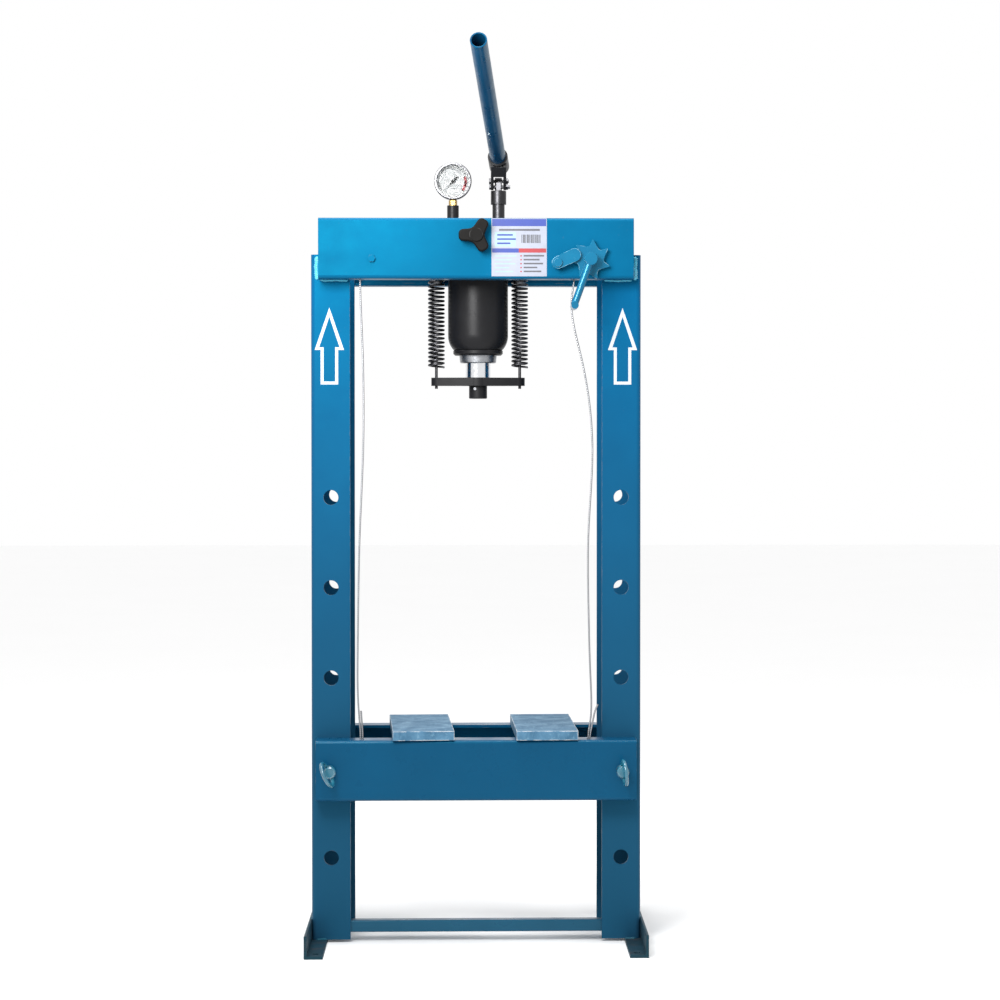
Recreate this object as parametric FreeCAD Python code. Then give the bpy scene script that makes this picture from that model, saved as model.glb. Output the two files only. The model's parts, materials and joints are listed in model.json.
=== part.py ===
import FreeCAD, Part
import math
import os

# Hydraulic shop press, millimetres. +Z up, +X right, +Y towards the back.
# Everything is drawn about the middle plane between the front and rear beams (y = 0),
# and moved at the end so that the origin is the middle of the whole footprint, on the floor.

Vector = FreeCAD.Vector
UP = Vector(0, 0, 1)
BACK = Vector(0, 1, 0)
RIGHT = Vector(1, 0, 0)

# ---- driving dimensions: welded frame --------------------------------------------------------
POST_OUTER_X = 277.5        # half width across the outer faces of the posts
POST_FLANGE = 65.5          # post channel flange width
POST_DEPTH = 178.0          # post channel depth, front to back
POST_THICK = 6.0
POST_BEND = 8.0             # outside bend radius
INNER_BEND = 2.0            # inside bend radius of posts and beams
POST_TOP_Z = 1159.0
PIN_HOLE_X = 244.3
PIN_HOLE_R = 12.5
PIN_HOLE_FIRST_Z = 143.0
PIN_HOLE_PITCH = 152.0
PIN_HOLE_COUNT = 5

TOP_BEAM_HALF_LENGTH = 263.0
BED_HALF_LENGTH = 268.5
BEAM_HEIGHT = 101.6         # 4 inch channel
BEAM_FLANGE = 40.0
BEAM_THICK = 5.0
BEAM_BEND = 6.0
TOP_BEAM_TOP_Z = 1218.0
BED_TOP_Z = 346.0
BEAM_INNER_Y = POST_DEPTH / 2
BEAM_FACE_Y = BEAM_INNER_Y + BEAM_FLANGE
WEB_INNER_Y = BEAM_FACE_Y - BEAM_THICK

BRACE_SIDE = 20.0
BRACE_LOW_Z = 16.0
SPACER_X = 150.0
SPACER_SIDE = 30.0
SPACER_LOW_Z = 258.0

FOOT_LENGTH = 450.0
FOOT_THICK = 4.8
FOOT_HEIGHT = 38.0
FOOT_WIDTH = 31.0
FOOT_OUTER_X = POST_OUTER_X + FOOT_THICK
ANCHOR_X = 264.3
ANCHOR_Y = 205.0
ANCHOR_R = 5.5

# ---- driving dimensions: jack and ram --------------------------------------------------------
JACK_X = 3.5                # the jack stands a little right of the middle of the frame
PLATE_LOW_Z = 1140.0
PLATE_THICK = 12.0
PLATE_HALF_X = 80.5
JACK_R = 51.5
JACK_TOP_Z = 1170.0
JACK_SHOULDER_Z = 1026.0
JACK_LOW_Z = 1002.0
JACK_NECK_R = 42.5
JACK_FLANGE_R = 63.0
BORE_R = 30.0
ROD_R = 21.25
RUNNING_GAP = 0.05
COLLAR_R = 42.5
COLLAR_LOW_Z = 992.0
GLAND_R = 32.0
GLAND_LOW_Z = 979.0
BLOCK_TOP_Z = 1208.0
BLOCK_HALF_X = 72.0
BLOCK_HALF_Y = 52.0
PISTON_LOW_Z = 1172.0
PISTON_HEIGHT = 20.0
CROSS_TOP_Z = 954.0
CROSS_LOW_Z = 940.0
CROSS_HALF_LENGTH = 80.3
TIP_R = 15.5
TIP_LOW_Z = 918.0
SPRING_X = 71.5
SPRING_R = 14.5
SPRING_WIRE = 3.8
SPRING_PITCH = 7.1
SPRING_TOP_Z = 1126.0
SPRING_LOW_Z = 970.0
PLUG_R = SPRING_R - SPRING_WIRE - 0.5
EYE_ROD_R = 2.5
SPIGOT_R = 10.0
SPIGOT_DEPTH = 12.0
SET_SCREW_R = 2.5
SCREW_R = 3.0
SCREW_CIRCLE_R = 57.2

# ---- driving dimensions: hand pump, gauge, release valve -------------------------------------
PUMP_X = 38.7
PUMP_BODY_R = 10.5
PLUNGER_R = 5.5
HEAD_R = 13.25
HEAD_LOW_Z = 1251.0
HEAD_TOP_Z = 1274.0
PLUNGER_PIN_Z = 1281.0
FULCRUM_Y = 22.0
FULCRUM_Z = 1293.0
PUMP_PIN_R = 3.0
CHEEK_INNER_X = 8.5
CHEEK_THICK = 4.5
SOCKET_R = 17.0
SOCKET_LENGTH = 40.0
SOCKET_MOUTH = Vector(37.0, -30.0, 1330.0)
HANDLE_END = Vector(2.8, -430.0, 1467.0)
HANDLE_R = 13.45
HANDLE_WALL = 2.3
HANDLE_DEPTH = 35.5

GAUGE_X = -39.4
GAUGE_Z = 1290.0
GAUGE_R = 32.0
KNOB_X = 0.0
KNOB_Z = 1188.0
KNOB_REACH = 30.0
SPINDLE_R = 5.0

# ---- driving dimensions: bed lift ------------------------------------------------------------
CABLE_R = 1.5
LEFT_CABLE_Y = -112.0
RIGHT_CABLE_Y = -104.0
PULLEY_X = -174.0
PULLEY_Z = 1150.0
PULLEY_PITCH_R = 20.0
WINCH_X = 190.0
WINCH_Z = 1148.0
DRUM_PITCH_R = 24.0
DRUM_R = 22.0
WINCH_SHAFT_R = 8.0
RATCHET_R = 34.0
RATCHET_ROOT_R = 21.1
RATCHET_TEETH = 7
RATCHET_FIRST_ANGLE = 84.0
CRANK_BAR_R = 6.0
CRANK_REACH = 85.0
CRANK_LEAN = 20.0
CRANK_PLANE_Y = -159.0
CRANK_GRIP = 65.0
PAWL_X = 135.6
PAWL_Z = 1142.4
PAWL_LENGTH = 30.0
PAWL_ANGLE = 25.0
PAWL_PIVOT_R = 10.0
PAWL_NOSE_R = 11.0
PAWL_BOLT_R = 5.0
PAWL_BOSS_FRONT_Y = -140.6
BUSH_R = 12.0
PULLEY_BOLT_R = 4.0
WHEEL_FRONT_Y = -140.0
WHEEL_BACK_Y = -134.0
DRUM_DISC_R = 26.0

# ---- driving dimensions: bed fittings --------------------------------------------------------
LOCK_PIN_R = 10.0
LOCK_PIN_FRONT_Y = -152.0
LOCK_PIN_BACK_Y = 150.0
LOCK_PIN_Z = PIN_HOLE_FIRST_Z + PIN_HOLE_PITCH
RING_HOLE_Y = -142.0
RING_R = 20.0
RING_WIRE_R = 3.0
PLATE_WIDTH = 103.0
PLATE_DEPTH = 248.0
PLATE_GAUGE = 15.5
PLATE_REST_GAP = 0.3
PLATE_FRONT_Y = -133.0

# The lift cables (x, y, z): the taut stretch from the drum to the pulley, then the two stretches
# that hang from the pulley and from the drum down to the bed.
TAUT_CABLE_ROUTE = [
    (164.0, -112.0, 1171.86), (128.0, -112.0, 1171.4), (76.0, -112.0, 1170.6), (20.0, -112.0, 1170.1),
    (-36.0, -112.0, 1169.8), (-90.0, -112.0, 1169.8), (-128.0, -112.0, 1169.95), (-152.0, -112.0, 1170.12),
]
LEFT_CABLE_ROUTE = [
    (-194.0, -112.0, 1124.0), (-193.3, -112.1, 1086.0), (-191.3, -112.4, 1040.0),
    (-189.3, -112.8, 988.0), (-188.2, -113.0, 932.0), (-188.0, -112.6, 875.0),
    (-189.3, -112.1, 818.0), (-191.8, -111.7, 760.0), (-194.6, -111.4, 702.0),
    (-196.3, -111.3, 644.0), (-197.4, -111.4, 586.0), (-198.2, -111.7, 528.0),
    (-198.8, -111.8, 474.0), (-198.9, -111.4, 436.0), (-197.7, -111.0, 404.0),
    (-195.6, -111.0, 376.0), (-194.0, -111.0, 354.0), (-194.0, -111.0, 336.0),
]
RIGHT_CABLE_ROUTE = [
    (166.0, -104.0, 1128.0), (163.2, -104.3, 1107.0), (159.7, -104.7, 1084.0),
    (160.2, -105.2, 1059.0), (164.6, -105.7, 1034.0), (170.8, -106.2, 1008.0),
    (177.2, -106.8, 982.0), (183.4, -107.4, 952.0), (189.2, -108.0, 916.0),
    (193.4, -108.4, 876.0), (195.3, -108.6, 832.0), (193.9, -108.6, 788.0),
    (191.0, -108.6, 742.0), (188.1, -108.7, 694.0), (187.2, -109.1, 644.0),
    (187.8, -109.4, 592.0), (188.9, -109.6, 540.0), (190.1, -109.8, 490.0),
    (191.9, -110.0, 446.0), (193.4, -110.2, 412.0), (192.8, -110.2, 386.0),
    (189.9, -110.2, 366.0), (187.3, -110.2, 351.0), (187.3, -110.2, 336.0),
]
LEFT_TAIL_ROUTE = [
    (-190.4, -111.0, 336.0), (-190.4, -111.0, 354.0), (-191.9, -111.0, 375.0), (-193.0, -111.0, 394.0),
]
RIGHT_TAIL_ROUTE = [
    (190.8, -110.2, 336.0), (190.8, -110.2, 351.0), (193.5, -110.2, 366.0), (197.0, -110.5, 382.0),
    (199.4, -110.8, 394.0), (204.0, -111.2, 404.0),
]
CLAMP_HEIGHT = 14.0
CABLE_GAP_X = 3.5           # between a cable and its tail where both leave the clamp

NODES = {}


# ---- shape helpers ---------------------------------------------------------------------------
def block(x0, y0, z0, x1, y1, z1):
    return Part.makeBox(x1 - x0, y1 - y0, z1 - z0, Vector(x0, y0, z0))


def rod(radius, start, axis, length):
    return Part.makeCylinder(radius, length, start, axis)


def pipe(outer, inner, start, axis, length):
    return rod(outer, start, axis, length).cut(rod(inner, start, axis, length))


def cone(r0, r1, start, axis, length):
    return Part.makeCone(r0, r1, length, start, axis)


def around(centre, radius, angle):
    """The point at an angle (degrees) on an upright circle that faces the front."""
    a = math.radians(angle)
    return centre + Vector(radius * math.cos(a), 0, radius * math.sin(a))


def corner(before, point, after, radius):
    """The two tangent points and the middle point of an arc that rounds one corner."""
    u = (point - before).normalize()
    v = (after - point).normalize()
    half_turn = u.getAngle(v) / 2
    inward = (v - u).normalize()
    reach = radius * math.tan(half_turn)
    centre = point + inward * (radius / math.cos(half_turn))
    return point - u * reach, centre - inward * radius, point + v * reach


def rounded_outline(points, radii):
    """A closed wire of straight sides and corner arcs, as a face."""
    edges = []
    count = len(points)
    arcs = []
    for i, point in enumerate(points):
        if radii[i] > 0:
            arcs.append(corner(points[i - 1], point, points[(i + 1) % count], radii[i]))
        else:
            arcs.append((point, None, point))
    for i in range(count):
        start, middle, end = arcs[i]
        if middle is not None:
            edges.append(Part.Arc(start, middle, end).toShape())
        following = arcs[(i + 1) % count][0]
        if (following - end).Length > 1e-6:
            edges.append(Part.LineSegment(end, following).toShape())
    return Part.Face(Part.Wire(edges))


def route_wire(points, radii):
    """An open wire of straight runs joined by tangent arcs."""
    edges = []
    last = points[0]
    for i in range(1, len(points) - 1):
        start, middle, end = corner(points[i - 1], points[i], points[i + 1], radii[i])
        if (start - last).Length > 1e-4:
            edges.append(Part.LineSegment(last, start).toShape())
        edges.append(Part.Arc(start, middle, end).toShape())
        last = end
    if (points[-1] - last).Length > 1e-4:
        edges.append(Part.LineSegment(last, points[-1]).toShape())
    return Part.Wire(edges)


def sweep(wire, radius, direction):
    """A round bar along a wire that starts in the given direction."""
    start = wire.OrderedVertexes[0].Point
    circle = Part.Wire(Part.makeCircle(radius, start, direction))
    solid = wire.makePipeShell([circle], True, False)
    expected = math.pi * radius * radius * wire.Length
    assert abs(solid.Volume / expected - 1) < 0.01, (solid.Volume, expected)
    return solid


def free_radii(points, fixed):
    """Arc radii of a hanging cable: as large as the runs allow, except where it lies on a wheel."""
    radii = [0.0] * len(points)
    for i in range(1, len(points) - 1):
        before = points[i] - points[i - 1]
        after = points[i + 1] - points[i]
        shorter = min(before.Length, after.Length)
        radii[i] = fixed.get(i, 0.45 * shorter / math.tan(before.getAngle(after) / 2))
    return radii


def cord(label, points, fixed):
    radii = free_radii(points, fixed)
    wire = route_wire(points, radii)
    inner = radii[1:-1]
    print(label, "length %.1f" % wire.Length, "smallest radius %.1f" % min(inner), "of", len(inner))
    return sweep(wire, CABLE_R, points[1] - points[0])


def wrap_corners(centre, radius, start, end, pieces):
    """Corners of the straight-sided outline that hugs a wheel from start to end (degrees)."""
    step = (end - start) / pieces
    reach = radius / math.cos(math.radians(step / 2))
    return [around(centre, reach, start + step * (i + 0.5)) for i in range(pieces)]


def mirrored(shape):
    return shape.mirror(Vector(0, 0, 0), RIGHT)


def group(shapes):
    return Part.makeCompound(shapes)


# ---- welded frame ----------------------------------------------------------------------------
def post():
    """Right post: a bent channel that opens towards the middle of the press."""
    inner_x = POST_OUTER_X - POST_FLANGE
    web_x = POST_OUTER_X - POST_THICK
    half = POST_DEPTH / 2
    inside = half - POST_THICK
    outline = [
        Vector(inner_x, -half, 0), Vector(POST_OUTER_X, -half, 0), Vector(POST_OUTER_X, half, 0),
        Vector(inner_x, half, 0), Vector(inner_x, inside, 0), Vector(web_x, inside, 0),
        Vector(web_x, -inside, 0), Vector(inner_x, -inside, 0),
    ]
    radii = [0, POST_BEND, POST_BEND, 0, 0, INNER_BEND, INNER_BEND, 0]
    shape = rounded_outline(outline, radii).extrude(UP * (POST_TOP_Z - FOOT_THICK))
    shape.translate(UP * FOOT_THICK)
    for i in range(PIN_HOLE_COUNT):
        start = Vector(PIN_HOLE_X, -half - 1, PIN_HOLE_FIRST_Z + i * PIN_HOLE_PITCH)
        shape = shape.cut(rod(PIN_HOLE_R, start, BACK, POST_DEPTH + 2))
    return shape


def beam(top_z, half_length):
    """Front channel with its web in front and its flanges pointing back to the posts."""
    low_z = top_z - BEAM_HEIGHT
    front = -BEAM_FACE_Y
    back = -BEAM_INNER_Y
    web = -WEB_INNER_Y
    x = -half_length
    outline = [
        Vector(x, front, low_z), Vector(x, front, top_z), Vector(x, back, top_z),
        Vector(x, back, top_z - BEAM_THICK), Vector(x, web, top_z - BEAM_THICK),
        Vector(x, web, low_z + BEAM_THICK), Vector(x, back, low_z + BEAM_THICK), Vector(x, back, low_z),
    ]
    radii = [BEAM_BEND, BEAM_BEND, 0, 0, INNER_BEND, INNER_BEND, 0, 0]
    return rounded_outline(outline, radii).extrude(RIGHT * (2 * half_length))


def foot():
    """Right foot: an angle iron, upright leg outside, flat leg under the post."""
    half = FOOT_LENGTH / 2
    inner_x = FOOT_OUTER_X - FOOT_WIDTH
    outline = [
        Vector(inner_x, -half, 0), Vector(FOOT_OUTER_X, -half, 0), Vector(FOOT_OUTER_X, -half, FOOT_HEIGHT),
        Vector(POST_OUTER_X, -half, FOOT_HEIGHT), Vector(POST_OUTER_X, -half, FOOT_THICK),
        Vector(inner_x, -half, FOOT_THICK),
    ]
    radii = [0, 0, 1.5, 1.5, 0, 2.0]
    shape = rounded_outline(outline, radii).extrude(BACK * FOOT_LENGTH)
    for y in (-ANCHOR_Y, ANCHOR_Y):
        shape = shape.cut(rod(ANCHOR_R, Vector(ANCHOR_X, y, -1), UP, FOOT_THICK + 2))
    return shape


def bore_along_y(shape, radius, x, z, y0, y1):
    return shape.cut(rod(radius, Vector(x, y0, z), BACK, y1 - y0))


def build_frame():
    right = post()
    NODES["right_post"] = right
    NODES["left_post"] = mirrored(right)
    NODES["right_foot"] = foot()
    NODES["left_foot"] = mirrored(NODES["right_foot"])

    front = beam(TOP_BEAM_TOP_Z, TOP_BEAM_HALF_LENGTH)
    NODES["top_beam_rear"] = front.mirror(Vector(0, 0, 0), BACK)
    through = (-BEAM_FACE_Y - 1, -WEB_INNER_Y + 1)
    front = bore_along_y(front, SPINDLE_R + 2, KNOB_X, KNOB_Z, *through)
    front = bore_along_y(front, PULLEY_BOLT_R, PULLEY_X, PULLEY_Z, *through)
    front = bore_along_y(front, BUSH_R, WINCH_X, WINCH_Z, *through)
    flange_low = TOP_BEAM_TOP_Z - BEAM_HEIGHT - 1
    cable_hole_r = 7.0
    for x, y in ((LEFT_CABLE_ROUTE[0][0], LEFT_CABLE_Y), (RIGHT_CABLE_ROUTE[1][0], RIGHT_CABLE_Y)):
        front = front.cut(rod(cable_hole_r, Vector(x, y, flange_low), UP, BEAM_THICK + 2))
    NODES["top_beam_front"] = front

    bed = beam(BED_TOP_Z, BED_HALF_LENGTH)
    for x in (-PIN_HOLE_X, PIN_HOLE_X):
        bed = bore_along_y(bed, LOCK_PIN_R + RUNNING_GAP, x, LOCK_PIN_Z, *through)
    NODES["bed_beam_rear"] = bed.mirror(Vector(0, 0, 0), BACK)
    end_hole_r = 2.6
    for x, y, _ in (LEFT_CABLE_ROUTE[-1], LEFT_TAIL_ROUTE[0], RIGHT_CABLE_ROUTE[-1], RIGHT_TAIL_ROUTE[0]):
        start = Vector(x, y, BED_TOP_Z - BEAM_THICK - 1)
        bed = bed.cut(rod(end_hole_r, start, UP, BEAM_THICK + 2))
    NODES["bed_beam_front"] = bed

    half = SPACER_SIDE / 2
    bars = []
    for x in (-SPACER_X, SPACER_X):
        top_z = SPACER_LOW_Z + SPACER_SIDE
        bars.append(block(x - half, -WEB_INNER_Y, SPACER_LOW_Z, x + half, WEB_INNER_Y, top_z))
    NODES["bed_spacers"] = group(bars)

    web_x = POST_OUTER_X - POST_THICK
    flange_back = -POST_DEPTH / 2 + POST_THICK
    brace_bend = 2.5
    brace_end_x = web_x - INNER_BEND
    brace_back = flange_back + BRACE_SIDE
    brace_top = BRACE_LOW_Z + BRACE_SIDE
    outline = [
        Vector(-brace_end_x, flange_back, BRACE_LOW_Z), Vector(-brace_end_x, brace_back, BRACE_LOW_Z),
        Vector(-brace_end_x, brace_back, brace_top), Vector(-brace_end_x, flange_back, brace_top),
    ]
    NODES["base_brace"] = rounded_outline(outline, [brace_bend] * 4).extrude(RIGHT * (2 * brace_end_x))


# ---- jack and ram ----------------------------------------------------------------------------
def revolve(profile):
    """A solid turned about the Z axis from (radius, z) points."""
    points = [Vector(r, 0, z) for r, z in profile]
    face = Part.Face(Part.makePolygon(points + [points[0]]))
    return face.revolve(Vector(0, 0, 0), UP, 360)


def screw_places():
    for i in range(4):
        angle = math.radians(45 + 90 * i)
        yield SCREW_CIRCLE_R * math.cos(angle), SCREW_CIRCLE_R * math.sin(angle)


def jack_cylinder():
    """Outer tank with a rounded shoulder, a mounting flange and the ram bore."""
    run_in = JACK_R - JACK_NECK_R
    rise = JACK_SHOULDER_Z - JACK_LOW_Z
    round_r = (run_in * run_in + rise * rise) / (2 * run_in)
    half_turn = math.asin(rise / round_r) / 2
    middle_x = JACK_R - round_r * (1 - math.cos(half_turn))
    middle = Vector(middle_x, 0, JACK_SHOULDER_Z - round_r * math.sin(half_turn))
    top_in = Vector(0, 0, JACK_TOP_Z)
    top_out = Vector(JACK_R, 0, JACK_TOP_Z)
    shoulder = Vector(JACK_R, 0, JACK_SHOULDER_Z)
    neck = Vector(JACK_NECK_R, 0, JACK_LOW_Z)
    low_in = Vector(0, 0, JACK_LOW_Z)
    outline = [
        Part.LineSegment(top_in, top_out).toShape(), Part.LineSegment(top_out, shoulder).toShape(),
        Part.Arc(shoulder, middle, neck).toShape(), Part.LineSegment(neck, low_in).toShape(),
        Part.LineSegment(low_in, top_in).toShape(),
    ]
    outer = Part.Face(Part.Wire(outline)).revolve(Vector(0, 0, 0), UP, 360)
    flange_height = 12.0
    outer = outer.fuse(rod(JACK_FLANGE_R, Vector(0, 0, PLATE_LOW_Z - flange_height), UP, flange_height))
    wall = 10.0
    outer = outer.cut(rod(BORE_R, Vector(0, 0, JACK_LOW_Z + wall), UP, JACK_TOP_Z))
    outer = outer.cut(rod(BORE_R - 4, Vector(0, 0, JACK_LOW_Z - 1), UP, wall + 2))
    for x, y in screw_places():
        outer = outer.cut(rod(SCREW_R, Vector(x, y, PLATE_LOW_Z - flange_height + 2), UP, flange_height))
    return outer


def cross_plate():
    """Spring plate: wide round middle, narrow round ends."""
    end_r = 13.0
    middle_r = 25.0
    thick = CROSS_TOP_Z - CROSS_LOW_Z
    low = Vector(0, 0, CROSS_LOW_Z)
    end_x = CROSS_HALF_LENGTH - end_r
    shape = rod(middle_r, low, UP, thick)
    for side in (-1, 1):
        taper = [
            Vector(0, -middle_r, CROSS_LOW_Z), Vector(side * end_x, -end_r, CROSS_LOW_Z),
            Vector(side * end_x, end_r, CROSS_LOW_Z), Vector(0, middle_r, CROSS_LOW_Z),
        ]
        shape = shape.fuse(Part.Face(Part.makePolygon(taper + [taper[0]])).extrude(UP * thick))
        shape = shape.fuse(rod(end_r, Vector(side * end_x, 0, CROSS_LOW_Z), UP, thick))
    shape = shape.removeSplitter()
    shape = shape.cut(rod(SPIGOT_R, low, UP, thick))
    for side in (-1, 1):
        shape = shape.cut(rod(EYE_ROD_R, Vector(side * SPRING_X, 0, CROSS_LOW_Z), UP, thick))
    return shape


def coil_spring(x):
    """Close-wound round wire between the lower plug and the upper anchor."""
    wire_r = SPRING_WIRE / 2
    coil_r = SPRING_R - wire_r
    helix = Part.makeHelix(SPRING_PITCH, SPRING_TOP_Z - SPRING_LOW_Z - SPRING_WIRE, coil_r)
    circle = Part.Wire(Part.makeCircle(wire_r, Vector(coil_r, 0, 0), BACK))
    coil = helix.makePipeShell([circle], True, True)
    coil.translate(Vector(x, 0, SPRING_LOW_Z + wire_r))
    return coil


def build_jack():
    plate_top = PLATE_LOW_Z + PLATE_THICK
    plate = block(-PLATE_HALF_X, -WEB_INNER_Y, PLATE_LOW_Z, PLATE_HALF_X, WEB_INNER_Y, plate_top)
    plate = plate.cut(rod(JACK_R, Vector(0, 0, PLATE_LOW_Z - 1), UP, PLATE_THICK + 2))
    anchor_rod_r = 4.0
    screws = []
    head_height = 6.0
    for x, y in screw_places():
        plate = plate.cut(rod(SCREW_R, Vector(x, y, PLATE_LOW_Z - 1), UP, PLATE_THICK + 2))
        screw = rod(SCREW_R, Vector(x, y, PLATE_LOW_Z - 10), UP, PLATE_THICK + 10)
        head = rod(5.0, Vector(x, y, PLATE_LOW_Z + PLATE_THICK), UP, head_height)
        socket = rod(2.5, Vector(x, y, PLATE_LOW_Z + PLATE_THICK + 3), UP, head_height)
        screws.append(screw.fuse(head).cut(socket))
    for side in (-1, 1):
        plate = plate.cut(rod(anchor_rod_r, Vector(side * SPRING_X, 0, PLATE_LOW_Z - 1), UP, PLATE_THICK + 2))
    NODES["jack_mount_plate"] = plate
    NODES["mount_screws"] = group(screws)
    NODES["jack_cylinder"] = jack_cylinder()

    head = block(-BLOCK_HALF_X, -BLOCK_HALF_Y, JACK_TOP_Z, BLOCK_HALF_X, BLOCK_HALF_Y, BLOCK_TOP_Z)
    upright = [e for e in head.Edges if abs(e.tangentAt(0).z) > 0.9]
    head = head.makeFillet(12.0, upright)
    roof = 12.0
    head = head.cut(rod(BORE_R, Vector(0, 0, JACK_TOP_Z - 1), UP, BLOCK_TOP_Z - roof - JACK_TOP_Z + 1))
    valve_depth = 12.0
    valve_front = -BLOCK_HALF_Y - 1
    valve_back = -BLOCK_HALF_Y + valve_depth
    head = bore_along_y(head, SPINDLE_R + RUNNING_GAP, KNOB_X - JACK_X, KNOB_Z, valve_front, valve_back)
    NODES["jack_head_block"] = head

    NODES["cylinder_collar"] = revolve([
        (BORE_R - 4, COLLAR_LOW_Z), (COLLAR_R - 3, COLLAR_LOW_Z), (COLLAR_R, COLLAR_LOW_Z + 3),
        (COLLAR_R, JACK_LOW_Z - 2), (COLLAR_R - 2, JACK_LOW_Z), (BORE_R - 4, JACK_LOW_Z),
    ])
    gland_bore = ROD_R + RUNNING_GAP
    NODES["gland_nut"] = revolve([
        (gland_bore, GLAND_LOW_Z), (GLAND_R - 2.5, GLAND_LOW_Z), (GLAND_R - 1, GLAND_LOW_Z + 1.5),
        (GLAND_R, COLLAR_LOW_Z), (gland_bore, COLLAR_LOW_Z),
    ])

    anchors = []
    for side in (-1, 1):
        x = side * SPRING_X
        plug_low = SPRING_TOP_Z - 12
        plug = rod(PLUG_R, Vector(x, 0, plug_low), UP, 10)
        stud = rod(anchor_rod_r, Vector(x, 0, plug_low), UP, PLATE_LOW_Z + PLATE_THICK + 10 - plug_low)
        nut = rod(7.0, Vector(x, 0, PLATE_LOW_Z + PLATE_THICK), UP, 6)
        anchors.append(plug.fuse(stud).fuse(nut))
    NODES["spring_anchors"] = group(anchors)

    for name, side in (("return_spring_left", -1), ("return_spring_right", 1)):
        NODES[name] = coil_spring(side * SPRING_X)


def build_ram():
    spigot_hole = rod(SPIGOT_R, Vector(0, 0, CROSS_TOP_Z), UP, SPIGOT_DEPTH)
    ram = rod(ROD_R, Vector(0, 0, CROSS_TOP_Z), UP, PISTON_LOW_Z - CROSS_TOP_Z).cut(spigot_hole)
    NODES["ram_rod"] = ram
    piston_r = BORE_R - RUNNING_GAP
    seal_low = PISTON_LOW_Z + 8
    seal_height = 5.0
    seal_depth = 4.0
    seal = pipe(piston_r, piston_r - seal_depth, Vector(0, 0, seal_low), UP, seal_height)
    NODES["piston"] = rod(piston_r, Vector(0, 0, PISTON_LOW_Z), UP, PISTON_HEIGHT).cut(seal)
    NODES["piston_seal"] = seal
    NODES["cross_plate"] = cross_plate()

    tip = rod(TIP_R, Vector(0, 0, TIP_LOW_Z), UP, CROSS_LOW_Z - TIP_LOW_Z)
    rim = [e for e in tip.Edges if e.BoundBox.ZMax < TIP_LOW_Z + 0.1 and e.Curve.TypeId == "Part::GeomCircle"]
    tip = tip.makeChamfer(1.2, rim)
    spigot_top = CROSS_TOP_Z + SPIGOT_DEPTH
    tip = tip.fuse(rod(SPIGOT_R, Vector(0, 0, CROSS_LOW_Z), UP, spigot_top - CROSS_LOW_Z))
    screw_z = CROSS_LOW_Z - 5
    screw_axis = Vector(math.sin(math.radians(-20)), -math.cos(math.radians(20)), 0)
    screw_start = Vector(0, 0, screw_z) + screw_axis * (TIP_R - 6)
    screw = rod(SET_SCREW_R, screw_start, screw_axis, 6.5)
    NODES["ram_tip"] = tip.cut(rod(SET_SCREW_R, screw_start, screw_axis, 10))
    NODES["tip_set_screw"] = screw

    rods = []
    for side in (-1, 1):
        x = side * SPRING_X
        shank_low = CROSS_LOW_Z - 5
        plug_low = SPRING_LOW_Z + 6
        shank = rod(EYE_ROD_R, Vector(x, 0, shank_low), UP, SPRING_LOW_Z + 30 - shank_low)
        rods.append(shank.fuse(rod(PLUG_R, Vector(x, 0, plug_low), UP, 5)))
    NODES["spring_rods"] = group(rods)


# ---- gauge and release valve -----------------------------------------------------------------
def hexagon(across_flats, centre, axis, side_axis, length):
    """A six-sided bar; side_axis points at one flat."""
    radius = across_flats / 2 / math.cos(math.radians(30))
    other = axis.cross(side_axis)
    points = []
    for i in range(6):
        angle = math.radians(30 + 60 * i)
        points.append(centre + side_axis * (radius * math.cos(angle)) + other * (radius * math.sin(angle)))
    return Part.Face(Part.makePolygon(points + [points[0]])).extrude(axis * length)


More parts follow.
